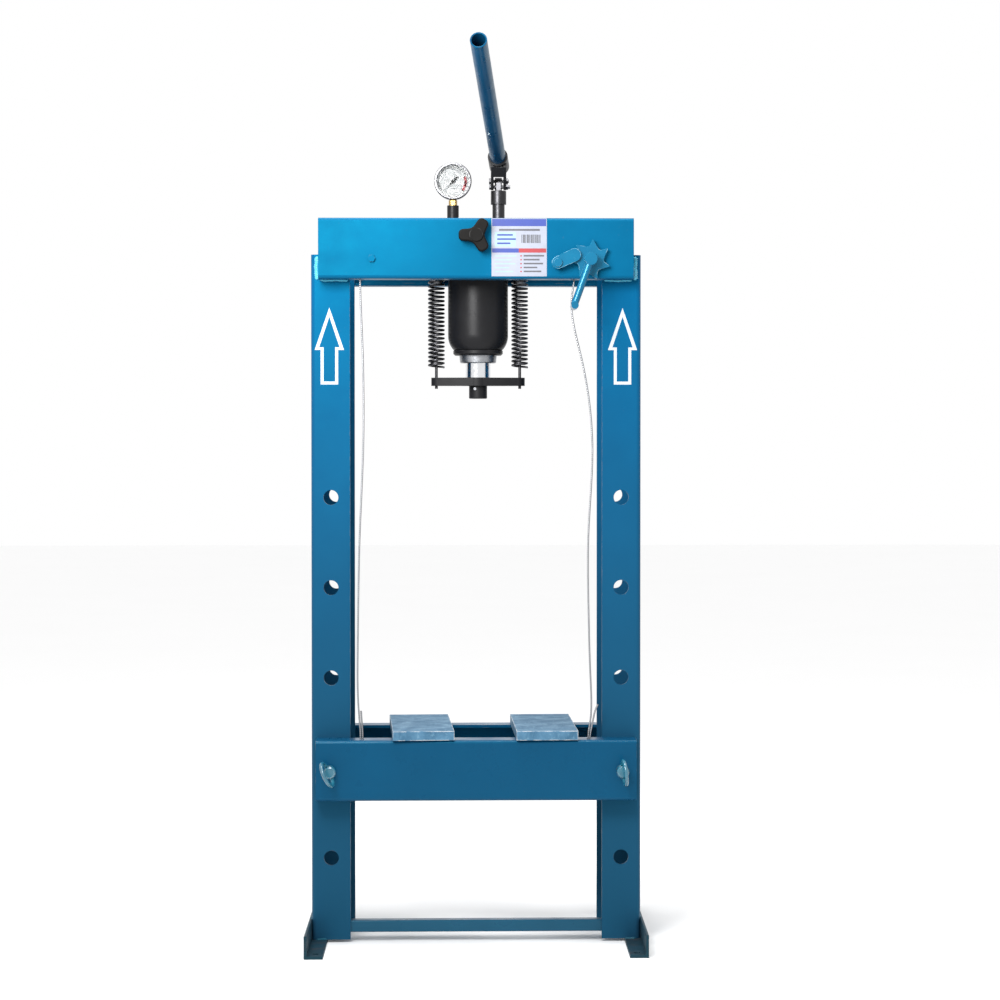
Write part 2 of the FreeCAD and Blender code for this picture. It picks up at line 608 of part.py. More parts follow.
def build_gauge():
    stem_top = 1249.0
    fitting_top = 1258.0
    case_r = GAUGE_R - 1
    cavity_r = case_r - 2.4
    NODES["gauge_stem"] = rod(10.0, Vector(GAUGE_X, 0, BLOCK_TOP_Z), UP, stem_top - BLOCK_TOP_Z)
    NODES["gauge_fitting"] = hexagon(12.5, Vector(GAUGE_X, 0, stem_top), UP, BACK, fitting_top - stem_top)

    def along(y):
        return Vector(GAUGE_X, y, GAUGE_Z)

    case = rod(case_r, along(-8), BACK, 24)
    rear = [e for e in case.Edges if e.BoundBox.YMin > 15.9 and e.Curve.TypeId == "Part::GeomCircle"]
    case = case.makeFillet(4.0, rear)
    case = case.fuse(rod(6.0, Vector(GAUGE_X, 0, fitting_top), UP, 8))
    NODES["gauge_case"] = case.cut(rod(cavity_r, along(-9), BACK, 13))

    window_r = 29.0
    lip_r = 28.4
    skirt = 1.6
    bezel = pipe(GAUGE_R, lip_r, along(-14), BACK, 3.5)
    bezel = bezel.fuse(pipe(GAUGE_R, window_r, along(-10.5), BACK, 2.5))
    bezel = bezel.fuse(pipe(GAUGE_R, case_r + 0.2, along(-8), BACK, skirt))
    bezel = bezel.removeSplitter()
    front = [e for e in bezel.Edges if e.BoundBox.YMax < -13.9 and e.BoundBox.XLength > 63]
    NODES["gauge_bezel"] = bezel.makeFillet(2.0, front)
    NODES["gauge_window"] = rod(window_r, along(-10.5), BACK, 2.0)
    arbor_r = 1.5
    NODES["gauge_dial"] = pipe(cavity_r, arbor_r + RUNNING_GAP, along(-3), BACK, 1.0)

    hub_r = 3.0
    tail = 12.0
    reach = 23.0
    needle_angle = math.radians(225)
    pointing = Vector(math.cos(needle_angle), 0, math.sin(needle_angle))
    sideways = Vector(-pointing.z, 0, pointing.x)
    centre = along(-5.2)
    narrow = 1.2
    wide = 2.2
    blade = [
        centre + pointing * reach, centre + sideways * narrow - pointing * 2,
        centre + sideways * wide - pointing * tail, centre - sideways * wide - pointing * tail,
        centre - sideways * narrow - pointing * 2,
    ]
    needle = Part.Face(Part.makePolygon(blade + [blade[0]])).extrude(BACK * 0.8)
    needle = needle.fuse(rod(hub_r, along(-5.6), BACK, 1.6))
    NODES["gauge_needle"] = needle.fuse(rod(arbor_r, along(-5), BACK, 7))


def build_release_valve():
    stem_end = -BLOCK_HALF_Y + 10
    knob_back = -134.0
    knob_front = -154.0
    hub_front = -157.0
    stem_start = knob_front + 6
    NODES["release_spindle"] = rod(SPINDLE_R, Vector(KNOB_X, stem_start, KNOB_Z), BACK, stem_end - stem_start)

    lobe_half_angle = 17.0
    lobe_rounding = 7.5
    waist_r = 12.5
    waist_rounding = 14.0
    middle = Vector(KNOB_X, knob_front, KNOB_Z)
    points = []
    radii = []
    for i in range(3):
        lobe = 180.0 + 120.0 * i
        points.append(around(middle, KNOB_REACH + 0.6, lobe - lobe_half_angle))
        points.append(around(middle, KNOB_REACH + 0.6, lobe + lobe_half_angle))
        points.append(around(middle, waist_r, lobe + 60.0))
        radii.extend([lobe_rounding, lobe_rounding, waist_rounding])
    knob = rounded_outline(points, radii).extrude(BACK * (knob_back - knob_front))
    rims = [e for e in knob.Edges if e.BoundBox.YLength < 0.01]
    knob = knob.makeFillet(2.5, rims)
    knob = knob.fuse(rod(11.0, Vector(KNOB_X, hub_front, KNOB_Z), BACK, knob_back - hub_front))
    NODES["release_knob"] = knob.cut(rod(SPINDLE_R, Vector(KNOB_X, stem_start, KNOB_Z), BACK, 40))


# ---- hand pump -------------------------------------------------------------------------------
def pump_point(y, z):
    return Vector(PUMP_X, y, z)


def handle_axis():
    return (HANDLE_END - SOCKET_MOUTH).normalize()


def pump_lever():
    """Handle socket with the two cheeks that carry the plunger pin and the fulcrum pin."""
    axis = handle_axis()
    side = [
        (30, 1287), (31, 1297), (20, 1304), (4, 1314), (-28, 1322), (-31, 1312), (-7, 1276), (5, 1275.6),
        (20, 1285),
    ]
    radii = [5, 6, 6, 10, 3, 6, 4.5, 4.5, 6]
    x0 = PUMP_X - CHEEK_INNER_X - CHEEK_THICK
    cheek = rounded_outline([Vector(x0, y, z) for y, z in side], radii).extrude(RIGHT * CHEEK_THICK)
    other = cheek.copy()
    other.translate(RIGHT * (2 * CHEEK_INNER_X + CHEEK_THICK))
    bridge_side = [(-31, 1312), (-20.3, 1296), (-15.5, 1299), (-22, 1320)]
    bridge = Part.Face(Part.makePolygon([Vector(x0, y, z) for y, z in bridge_side + bridge_side[:1]]))
    bridge = bridge.extrude(RIGHT * (2 * (CHEEK_INNER_X + CHEEK_THICK)))
    lever = rod(SOCKET_R, SOCKET_MOUTH, axis * -1, SOCKET_LENGTH).fuse(cheek).fuse(other).fuse(bridge)
    lever = lever.cut(rod(HANDLE_R + RUNNING_GAP, SOCKET_MOUTH + axis * 20, axis * -1, HANDLE_DEPTH + 20.4))
    pins = rod(PUMP_PIN_R, pump_point(0, PLUNGER_PIN_Z) - RIGHT * 20, RIGHT, 40)
    pins = pins.fuse(rod(PUMP_PIN_R, pump_point(FULCRUM_Y, FULCRUM_Z) - RIGHT * 20, RIGHT, 40))
    return lever.cut(pins)


def pump_pin(y, z, head_r, tail):
    """A pin through both cheeks: round head on the left, nut and tail on the right."""
    outside = CHEEK_INNER_X + CHEEK_THICK
    centre = pump_point(y, z)
    head = 3.0
    shape = rod(PUMP_PIN_R, centre - RIGHT * (outside + head), RIGHT, 2 * outside + head + tail)
    shape = shape.fuse(rod(head_r, centre - RIGHT * (outside + head), RIGHT, head))
    return shape.fuse(hexagon(2 * head_r, centre + RIGHT * outside, RIGHT, UP, 3.5))


def build_pump():
    bore = PLUNGER_R + RUNNING_GAP
    NODES["pump_body"] = pipe(PUMP_BODY_R, bore, pump_point(0, BLOCK_TOP_Z), UP, HEAD_LOW_Z - BLOCK_TOP_Z)
    lug_half = 6.0
    head = rod(HEAD_R, pump_point(0, HEAD_LOW_Z), UP, HEAD_TOP_Z - HEAD_LOW_Z)
    lug_low = HEAD_LOW_Z + 4
    lug_left = PUMP_X - lug_half
    lug_right = PUMP_X + lug_half
    lug_back = FULCRUM_Y + 6
    head = head.fuse(block(lug_left, 8, lug_low, lug_right, lug_back, HEAD_TOP_Z - 4))
    head = head.fuse(block(lug_left, FULCRUM_Y - 6, lug_low, lug_right, lug_back, FULCRUM_Z))
    head = head.fuse(rod(6.0, pump_point(FULCRUM_Y, FULCRUM_Z) - RIGHT * lug_half, RIGHT, 2 * lug_half))
    head = head.cut(rod(bore, pump_point(0, HEAD_LOW_Z - 1), UP, HEAD_TOP_Z))
    pin_bore = PUMP_PIN_R + RUNNING_GAP
    head = head.cut(rod(pin_bore, pump_point(FULCRUM_Y, FULCRUM_Z) - RIGHT * 8, RIGHT, 16))
    NODES["pump_head"] = head.removeSplitter()

    eye_half = 3.8
    eye_low = HEAD_TOP_Z + 0.5
    plunger = rod(PLUNGER_R, pump_point(0, BLOCK_TOP_Z + 8), UP, eye_low - BLOCK_TOP_Z - 4)
    plunger = plunger.fuse(block(PUMP_X - eye_half, -10, eye_low, PUMP_X + eye_half, 7, PLUNGER_PIN_Z + 7))
    slot_half = PUMP_PIN_R + 0.4
    slot = block(PUMP_X - 8, -3.4, PLUNGER_PIN_Z - slot_half, PUMP_X + 8, 0.4, PLUNGER_PIN_Z + slot_half)
    slot = slot.fuse(rod(slot_half, pump_point(-3.4, PLUNGER_PIN_Z) - RIGHT * 8, RIGHT, 16))
    slot = slot.fuse(rod(slot_half, pump_point(0.4, PLUNGER_PIN_Z) - RIGHT * 8, RIGHT, 16))
    NODES["pump_plunger"] = plunger.cut(slot)

    NODES["pump_lever"] = pump_lever()
    NODES["lever_pins"] = group([
        pump_pin(0, PLUNGER_PIN_Z, 4.5, 7.0), pump_pin(FULCRUM_Y, FULCRUM_Z, 5.0, 5.0),
    ])

    axis = handle_axis()
    foot_end = SOCKET_MOUTH - axis * HANDLE_DEPTH
    length = (HANDLE_END - foot_end).Length
    NODES["handle_tube"] = pipe(HANDLE_R, HANDLE_R - HANDLE_WALL, foot_end, axis, length)
    print("handle axis", axis, "length", round(length, 1))


# ---- bed lift: winch, pawl, pulley, cables ---------------------------------------------------
def winch_point(y, radius=0.0, angle=0.0):
    return around(Vector(WINCH_X, y, WINCH_Z), radius, angle)


def ratchet_wheel():
    """Seven hooked teeth: steep on the anticlockwise side, long back on the clockwise side."""
    points = []
    radii = []
    pitch = 360.0 / RATCHET_TEETH
    for i in range(RATCHET_TEETH):
        tip = RATCHET_FIRST_ANGLE + i * pitch
        points.append(winch_point(WHEEL_FRONT_Y, RATCHET_R + 1.0, tip))
        radii.append(1.2)
        points.append(winch_point(WHEEL_FRONT_Y, RATCHET_ROOT_R, tip + 12))
        radii.append(6.0)
        points.append(winch_point(WHEEL_FRONT_Y, RATCHET_ROOT_R + 2.2, tip + 27))
        radii.append(12.0)
    wheel = rounded_outline(points, radii).extrude(BACK * (WHEEL_BACK_Y - WHEEL_FRONT_Y))
    return wheel.cut(rod(WINCH_SHAFT_R, winch_point(WHEEL_FRONT_Y - 1), BACK, 8))


def crank():
    """One round bar: across the hub, down the arm, round the bend and out to the grip."""
    lean = math.radians(CRANK_LEAN)
    down = Vector(-math.sin(lean), 0, -math.cos(lean))
    centre = winch_point(CRANK_PLANE_Y)
    bend = 11.0
    elbow = centre + down * CRANK_REACH
    points = [centre - down * 10, elbow, elbow - BACK * CRANK_GRIP]
    bar = sweep(route_wire(points, [0, bend, 0]), CRANK_BAR_R, down)
    hub_r = 10.5
    hub_front = CRANK_PLANE_Y - CRANK_BAR_R
    hub = rod(hub_r, winch_point(hub_front), BACK, WHEEL_FRONT_Y - hub_front)
    hub = hub.cut(rod(WINCH_SHAFT_R, winch_point(CRANK_PLANE_Y + 8), BACK, 12))
    return bar.fuse(hub)


def cable_drum():
    drum = rod(DRUM_R, winch_point(-118), BACK, 20)
    for y in (-118, -109, -100):
        drum = drum.fuse(rod(DRUM_DISC_R, winch_point(y), BACK, 2))
    return drum.removeSplitter().cut(rod(WINCH_SHAFT_R, winch_point(-119), BACK, 22))


def pawl():
    """Flat bar with a round eye and a round nose, lying just in front of the ratchet wheel."""
    back_y = WHEEL_FRONT_Y - 1.0
    thick = 6.0
    lean = math.radians(PAWL_ANGLE)
    along = Vector(math.cos(lean), 0, math.sin(lean))
    across = Vector(-along.z, 0, along.x)
    pivot = Vector(PAWL_X, back_y - thick, PAWL_Z)
    nose = pivot + along * PAWL_LENGTH
    sides = [
        pivot + across * PAWL_PIVOT_R, nose + across * PAWL_NOSE_R, nose - across * PAWL_NOSE_R,
        pivot - across * PAWL_PIVOT_R,
    ]
    shape = Part.Face(Part.makePolygon(sides + [sides[0]])).extrude(BACK * thick)
    shape = shape.fuse(rod(PAWL_PIVOT_R, pivot, BACK, thick)).fuse(rod(PAWL_NOSE_R, nose, BACK, thick))
    return shape.removeSplitter().cut(rod(PAWL_BOLT_R + RUNNING_GAP, pivot - BACK, BACK, thick + 2))


def build_winch():
    NODES["winch_bush"] = pipe(BUSH_R, WINCH_SHAFT_R + RUNNING_GAP, winch_point(-133.6), BACK, 15)
    shaft_front = CRANK_PLANE_Y + 8
    shaft_back = -90.0
    shaft = rod(WINCH_SHAFT_R, winch_point(shaft_front), BACK, shaft_back - shaft_front)
    nut = hexagon(22.0, winch_point(-98), BACK, UP, 6.0).cut(shaft)
    NODES["winch_shaft"] = group([shaft, nut])
    NODES["cable_drum"] = cable_drum()
    NODES["ratchet_wheel"] = ratchet_wheel()
    NODES["crank"] = crank()

    NODES["pawl"] = pawl()
    boss = rod(9.0, Vector(PAWL_X, PAWL_BOSS_FRONT_Y, PAWL_Z), BACK, -BEAM_FACE_Y - PAWL_BOSS_FRONT_Y)
    shank = rod(PAWL_BOLT_R, Vector(PAWL_X, -148.0, PAWL_Z), BACK, 148.0 - BEAM_FACE_Y)
    bolt_head = rod(7.0, Vector(PAWL_X, -151.0, PAWL_Z), BACK, 3.5)
    NODES["pawl_bolt"] = group([boss.cut(shank), bolt_head.fuse(shank)])


def build_pulley():
    groove_r = PULLEY_PITCH_R - CABLE_R - 0.5
    outer_r = PULLEY_PITCH_R + 2.5

    def along(y):
        return Vector(PULLEY_X, y, PULLEY_Z)

    wheel = rod(groove_r, along(-117), BACK, 10)
    wheel = wheel.fuse(rod(outer_r, along(-117), BACK, 2)).fuse(rod(outer_r, along(-109), BACK, 2))
    wheel = wheel.removeSplitter()
    NODES["cable_pulley"] = wheel.cut(rod(PULLEY_BOLT_R + RUNNING_GAP, along(-118), BACK, 12))
    shank = rod(PULLEY_BOLT_R, along(-BEAM_FACE_Y), BACK, 29)
    bolt = shank.fuse(hexagon(11.0, along(-BEAM_FACE_Y - 5), BACK, UP, 5.0))
    spacer = pipe(7.0, PULLEY_BOLT_R, along(-WEB_INNER_Y), BACK, 6.6)
    nut = hexagon(13.0, along(-106.6), BACK, UP, 6.0).cut(bolt)
    NODES["pulley_bolt"] = group([bolt, spacer, nut])


def build_cables():
    pulley = Vector(PULLEY_X, LEFT_CABLE_Y, PULLEY_Z)
    drum = winch_point(LEFT_CABLE_Y)
    span = (drum - pulley).Length
    tilt = math.asin((drum.z - pulley.z) / span)
    spread = math.asin((DRUM_PITCH_R - PULLEY_PITCH_R) / span)
    contact = 90.0 + math.degrees(tilt + spread)
    laps = wrap_corners(drum, DRUM_PITCH_R, contact - 260.0, contact, 4)
    over = wrap_corners(pulley, PULLEY_PITCH_R, contact, 180.0, 2)
    hanging = [Vector(*p) for p in LEFT_CABLE_ROUTE]
    taut = [Vector(*p) for p in TAUT_CABLE_ROUTE]
    points = [around(drum, DRUM_PITCH_R, contact - 260.0)] + laps + taut + over + hanging
    fixed = {i: DRUM_PITCH_R for i in range(1, 5)}
    first_over = 5 + len(taut)
    fixed.update({i: PULLEY_PITCH_R for i in range(first_over, first_over + len(over))})
    NODES["lift_cable_left"] = cord("left cable", points, fixed)

    drum = winch_point(RIGHT_CABLE_Y)
    laps = wrap_corners(drum, DRUM_PITCH_R, -80.0, 180.0, 4)
    hanging = [Vector(*p) for p in RIGHT_CABLE_ROUTE]
    points = [around(drum, DRUM_PITCH_R, -80.0)] + laps + hanging
    fixed = {i: DRUM_PITCH_R for i in range(1, 5)}
    NODES["lift_cable_right"] = cord("right cable", points, fixed)
    NODES["cable_ends"] = group([
        cord("left tail", [Vector(*p) for p in LEFT_TAIL_ROUTE], {}),
        cord("right tail", [Vector(*p) for p in RIGHT_TAIL_ROUTE], {}),
    ])
    clamps = []
    margin = 3.0
    for x, y, z in (LEFT_CABLE_ROUTE[-1], RIGHT_CABLE_ROUTE[-1]):
        far_x = x + CABLE_GAP_X + margin
        clamp = block(x - margin, y - margin, z - CLAMP_HEIGHT, far_x, y + margin, z)
        upright = [e for e in clamp.Edges if abs(e.tangentAt(0).z) > 0.9]
        clamps.append(clamp.makeFillet(margin - 0.4, upright))
    NODES["cable_ferrules"] = group(clamps)


# ---- bed fittings ----------------------------------------------------------------------------
def hole_axis(tilt):
    """Direction of the cross hole in a lock pin, tilt degrees from upright."""
    a = math.radians(tilt)
    return Vector(math.sin(a), 0, math.cos(a))


def lock_pin(x, tilt):
    pin = rod(LOCK_PIN_R, Vector(x, LOCK_PIN_FRONT_Y, LOCK_PIN_Z), BACK, LOCK_PIN_BACK_Y - LOCK_PIN_FRONT_Y)
    rims = [e for e in pin.Edges if e.Curve.TypeId == "Part::GeomCircle"]
    pin = pin.makeChamfer(2.0, rims)
    waist_r = RING_WIRE_R + 0.5
    mouth_r = RING_WIRE_R + 4.4
    middle = Vector(x, RING_HOLE_Y, LOCK_PIN_Z)
    for direction in (hole_axis(tilt), hole_axis(tilt) * -1):
        pin = pin.cut(cone(waist_r, mouth_r, middle - direction * 0.01, direction, LOCK_PIN_R))
        pin = pin.cut(rod(mouth_r, middle + direction * (LOCK_PIN_R - 0.02), direction, 2.0))
    return pin


def pin_ring(x, tilt, swing):
    """Pull ring in the cross hole, turned by swing degrees from straight ahead."""
    axis = hole_axis(tilt)
    outward = FreeCAD.Rotation(axis, swing).multVec(BACK * -1)
    centre = Vector(x, RING_HOLE_Y, LOCK_PIN_Z) + outward * RING_R
    return Part.makeTorus(RING_R, RING_WIRE_R, centre, outward.cross(axis))


def press_plate(front_x, turn):
    """Loose steel block on the two bed beams; turn is its small rotation about the upright axis."""
    low_z = BED_TOP_Z + PLATE_REST_GAP
    half = PLATE_WIDTH / 2
    plate = block(-half, 0, low_z, half, PLATE_DEPTH, low_z + PLATE_GAUGE)
    plate.rotate(Vector(0, 0, 0), UP, turn)
    plate.translate(Vector(front_x, PLATE_FRONT_Y, 0))
    return plate


def build_bed_fittings():
    left_tilt = -25.0
    right_tilt = -6.0
    NODES["lock_pin_left"] = lock_pin(-PIN_HOLE_X, left_tilt)
    NODES["lock_pin_right"] = lock_pin(PIN_HOLE_X, right_tilt)
    NODES["pin_ring_left"] = pin_ring(-PIN_HOLE_X, left_tilt, -10.0)
    NODES["pin_ring_right"] = pin_ring(PIN_HOLE_X, right_tilt, 5.0)
    NODES["press_plate_left"] = press_plate(-88.0, 3.0)
    NODES["press_plate_right"] = press_plate(118.75, 1.6)


def main():
    build_jack()
    build_ram()
    for shape in NODES.values():
        shape.translate(RIGHT * JACK_X)
    build_frame()
    build_gauge()
    build_release_valve()
    build_pump()
    build_winch()
    build_pulley()
    build_cables()
    build_bed_fittings()

    box = Part.makeCompound(list(NODES.values())).BoundBox
    to_origin = Vector(-box.Center.x, -box.Center.y, -box.ZMin)
    print("moved by", to_origin, "size", box.XLength, box.YLength, box.ZLength)
    os.makedirs("parts", exist_ok=True)
    for name, shape in NODES.items():
        shape.translate(to_origin)
        assert shape.isValid(), name
        shape.exportStep("parts/" + name + ".step")
    print(len(NODES), "nodes")


main()
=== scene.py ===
import json
import math

import bpy
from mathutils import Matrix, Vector


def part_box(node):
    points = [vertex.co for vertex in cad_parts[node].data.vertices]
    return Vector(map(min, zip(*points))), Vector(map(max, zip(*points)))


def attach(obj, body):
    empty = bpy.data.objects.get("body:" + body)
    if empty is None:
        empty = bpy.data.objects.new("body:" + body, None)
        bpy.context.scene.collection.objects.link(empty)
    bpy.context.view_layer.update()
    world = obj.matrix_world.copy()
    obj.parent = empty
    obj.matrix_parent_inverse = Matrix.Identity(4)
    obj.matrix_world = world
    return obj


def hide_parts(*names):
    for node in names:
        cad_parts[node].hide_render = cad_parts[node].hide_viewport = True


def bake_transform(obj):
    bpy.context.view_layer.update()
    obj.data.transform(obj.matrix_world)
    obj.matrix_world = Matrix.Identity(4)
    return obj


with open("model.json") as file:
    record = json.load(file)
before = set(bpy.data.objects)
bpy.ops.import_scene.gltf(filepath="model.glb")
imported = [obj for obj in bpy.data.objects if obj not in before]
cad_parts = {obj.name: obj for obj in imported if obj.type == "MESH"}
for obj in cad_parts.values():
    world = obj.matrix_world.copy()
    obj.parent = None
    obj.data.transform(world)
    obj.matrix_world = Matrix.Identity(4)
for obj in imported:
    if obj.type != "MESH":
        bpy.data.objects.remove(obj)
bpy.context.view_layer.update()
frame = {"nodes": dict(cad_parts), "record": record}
MM = 0.001

# The press's middle plane, between the front and rear beams, lies behind the footprint's middle.
POST_LOW, POST_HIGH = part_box("left_post")
MID_Y = (POST_LOW[1] + POST_HIGH[1]) / 2


def place(x, y, z):
    """Millimetres about the press's middle plane, to metres in the row frame."""
    return Vector((x * MM, MID_Y + y * MM, z * MM))


# ---- camera --------------------------------------------------------------------------------------
CAMERA_AT = (-12.0, -4316.6, 873.2)
CAMERA_TURN = (88.976, 0.0, -1.347)
CAMERA_LENS = 90.4
CAMERA_SHIFT = (-0.0281, -0.0303)


def make_camera():
    data = bpy.data.cameras.new("camera")
    data.lens = CAMERA_LENS
    data.sensor_width = 36.0
    data.shift_x, data.shift_y = CAMERA_SHIFT
    camera = bpy.data.objects.new("camera", data)
    camera.location = place(*CAMERA_AT)
    camera.rotation_euler = [math.radians(angle) for angle in CAMERA_TURN]
    bpy.context.scene.collection.objects.link(camera)
    bpy.context.scene.camera = camera


make_camera()

# ---- lift cables ---------------------------------------------------------------------------------
CABLE_DIAMETER = 3.0
PULLEY_CENTRE = (-174.0, 1150.0)
PULLEY_PITCH_R = 20.0
DRUM_CENTRE = (190.0, 1148.0)
DRUM_PITCH_R = 24.0
LEFT_CABLE_Y = -112.0
RIGHT_CABLE_Y = -104.0
LEFT_WRAP = 260.0
RIGHT_WRAP_START = -80.0
OFF_DRUM_OR_PULLEY = 180.0
# Route points in millimetres: along the top beam to the pulley, then each cable down to the bed.
TAUT_CABLE_ROUTE = [
    (164.0, -112.0, 1171.86), (128.0, -112.0, 1171.4), (76.0, -112.0, 1170.6), (20.0, -112.0, 1170.1),
    (-36.0, -112.0, 1169.8), (-90.0, -112.0, 1169.8), (-128.0, -112.0, 1169.95), (-152.0, -112.0, 1170.12),
]
LEFT_CABLE_ROUTE = [
    (-194.0, -112.0, 1124.0), (-193.3, -112.1, 1086.0), (-191.3, -112.4, 1040.0),
    (-189.3, -112.8, 988.0), (-188.2, -113.0, 932.0), (-188.0, -112.6, 875.0),
    (-189.3, -112.1, 818.0), (-191.8, -111.7, 760.0), (-194.6, -111.4, 702.0),
    (-196.3, -111.3, 644.0), (-197.4, -111.4, 586.0), (-198.2, -111.7, 528.0),
    (-198.8, -111.8, 474.0), (-198.9, -111.4, 436.0), (-197.7, -111.0, 404.0),
    (-195.6, -111.0, 376.0), (-194.0, -111.0, 354.0), (-194.0, -111.0, 336.0),
]
RIGHT_CABLE_ROUTE = [
    (166.0, -104.0, 1128.0), (163.2, -104.3, 1107.0), (159.7, -104.7, 1084.0),
    (160.2, -105.2, 1059.0), (164.6, -105.7, 1034.0), (170.8, -106.2, 1008.0),
    (177.2, -106.8, 982.0), (183.4, -107.4, 952.0), (189.2, -108.0, 916.0),
    (193.4, -108.4, 876.0), (195.3, -108.6, 832.0), (193.9, -108.6, 788.0),
    (191.0, -108.6, 742.0), (188.1, -108.7, 694.0), (187.2, -109.1, 644.0),
    (187.8, -109.4, 592.0), (188.9, -109.6, 540.0), (190.1, -109.8, 490.0),
    (191.9, -110.0, 446.0), (193.4, -110.2, 412.0), (192.8, -110.2, 386.0),
    (189.9, -110.2, 366.0), (187.3, -110.2, 351.0), (187.3, -110.2, 336.0),
]


def wrap_corners(centre, y, radius, start, end, pieces):
    """Corners of the straight-sided outline that hugs a wheel from start to end (degrees)."""
    step = math.radians(end - start) / pieces
    reach = radius / math.cos(step / 2)
    corners = []
    for i in range(pieces):
        angle = math.radians(start) + step * (i + 0.5)
        corners.append((centre[0] + reach * math.cos(angle), y, centre[1] + reach * math.sin(angle)))
    return corners


def on_wheel(centre, y, radius, angle):
    """The point of a wheel's rim at an angle in degrees."""
    a = math.radians(angle)
    return (centre[0] + radius * math.cos(a), y, centre[1] + radius * math.sin(a))


def cable(name, node, points):
    """A wire rope along the points. Its thickness is in the point radius, which the bounds also count."""
    curve = bpy.data.curves.new(name, "CURVE")
    curve.dimensions = "3D"
    spline = curve.splines.new("NURBS")
    spline.points.add(len(points) - 1)
    for point, (x, y, z) in zip(spline.points, points):
        point.co = (*place(x, y, z), 1.0)
        point.radius = CABLE_DIAMETER / 2 * MM
    spline.order_u = 3
    spline.use_endpoint_u = True
    spline.resolution_u = 8
    curve.bevel_depth = 1.0
    curve.bevel_resolution = 3
    curve.use_fill_caps = True
    piece = bpy.data.objects.new(name, curve)
    bpy.context.scene.collection.objects.link(piece)
    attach(piece, "frame")
    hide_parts(node)
    return piece


def make_cables():
    """Both ropes start on the winch drum. The left one crosses over a pulley inside the top beam."""
    span_x = DRUM_CENTRE[0] - PULLEY_CENTRE[0]
    span_z = DRUM_CENTRE[1] - PULLEY_CENTRE[1]
    span = math.hypot(span_x, span_z)
    tilt = math.asin(span_z / span)
    spread = math.asin((DRUM_PITCH_R - PULLEY_PITCH_R) / span)
    contact = 90.0 + math.degrees(tilt + spread)
    laps = wrap_corners(DRUM_CENTRE, LEFT_CABLE_Y, DRUM_PITCH_R, contact - LEFT_WRAP, contact, 4)
    over = wrap_corners(PULLEY_CENTRE, LEFT_CABLE_Y, PULLEY_PITCH_R, contact, OFF_DRUM_OR_PULLEY, 2)
    start = on_wheel(DRUM_CENTRE, LEFT_CABLE_Y, DRUM_PITCH_R, contact - LEFT_WRAP)
    points = [start] + laps + TAUT_CABLE_ROUTE + over + LEFT_CABLE_ROUTE
    left = cable("left_wire_rope", "lift_cable_left", points)
    laps = wrap_corners(DRUM_CENTRE, RIGHT_CABLE_Y, DRUM_PITCH_R, RIGHT_WRAP_START, OFF_DRUM_OR_PULLEY, 4)
    start = on_wheel(DRUM_CENTRE, RIGHT_CABLE_Y, DRUM_PITCH_R, RIGHT_WRAP_START)
    right = cable("right_wire_rope", "lift_cable_right", [start] + laps + RIGHT_CABLE_ROUTE)
    return left, right


LEFT_CABLE, RIGHT_CABLE = make_cables()


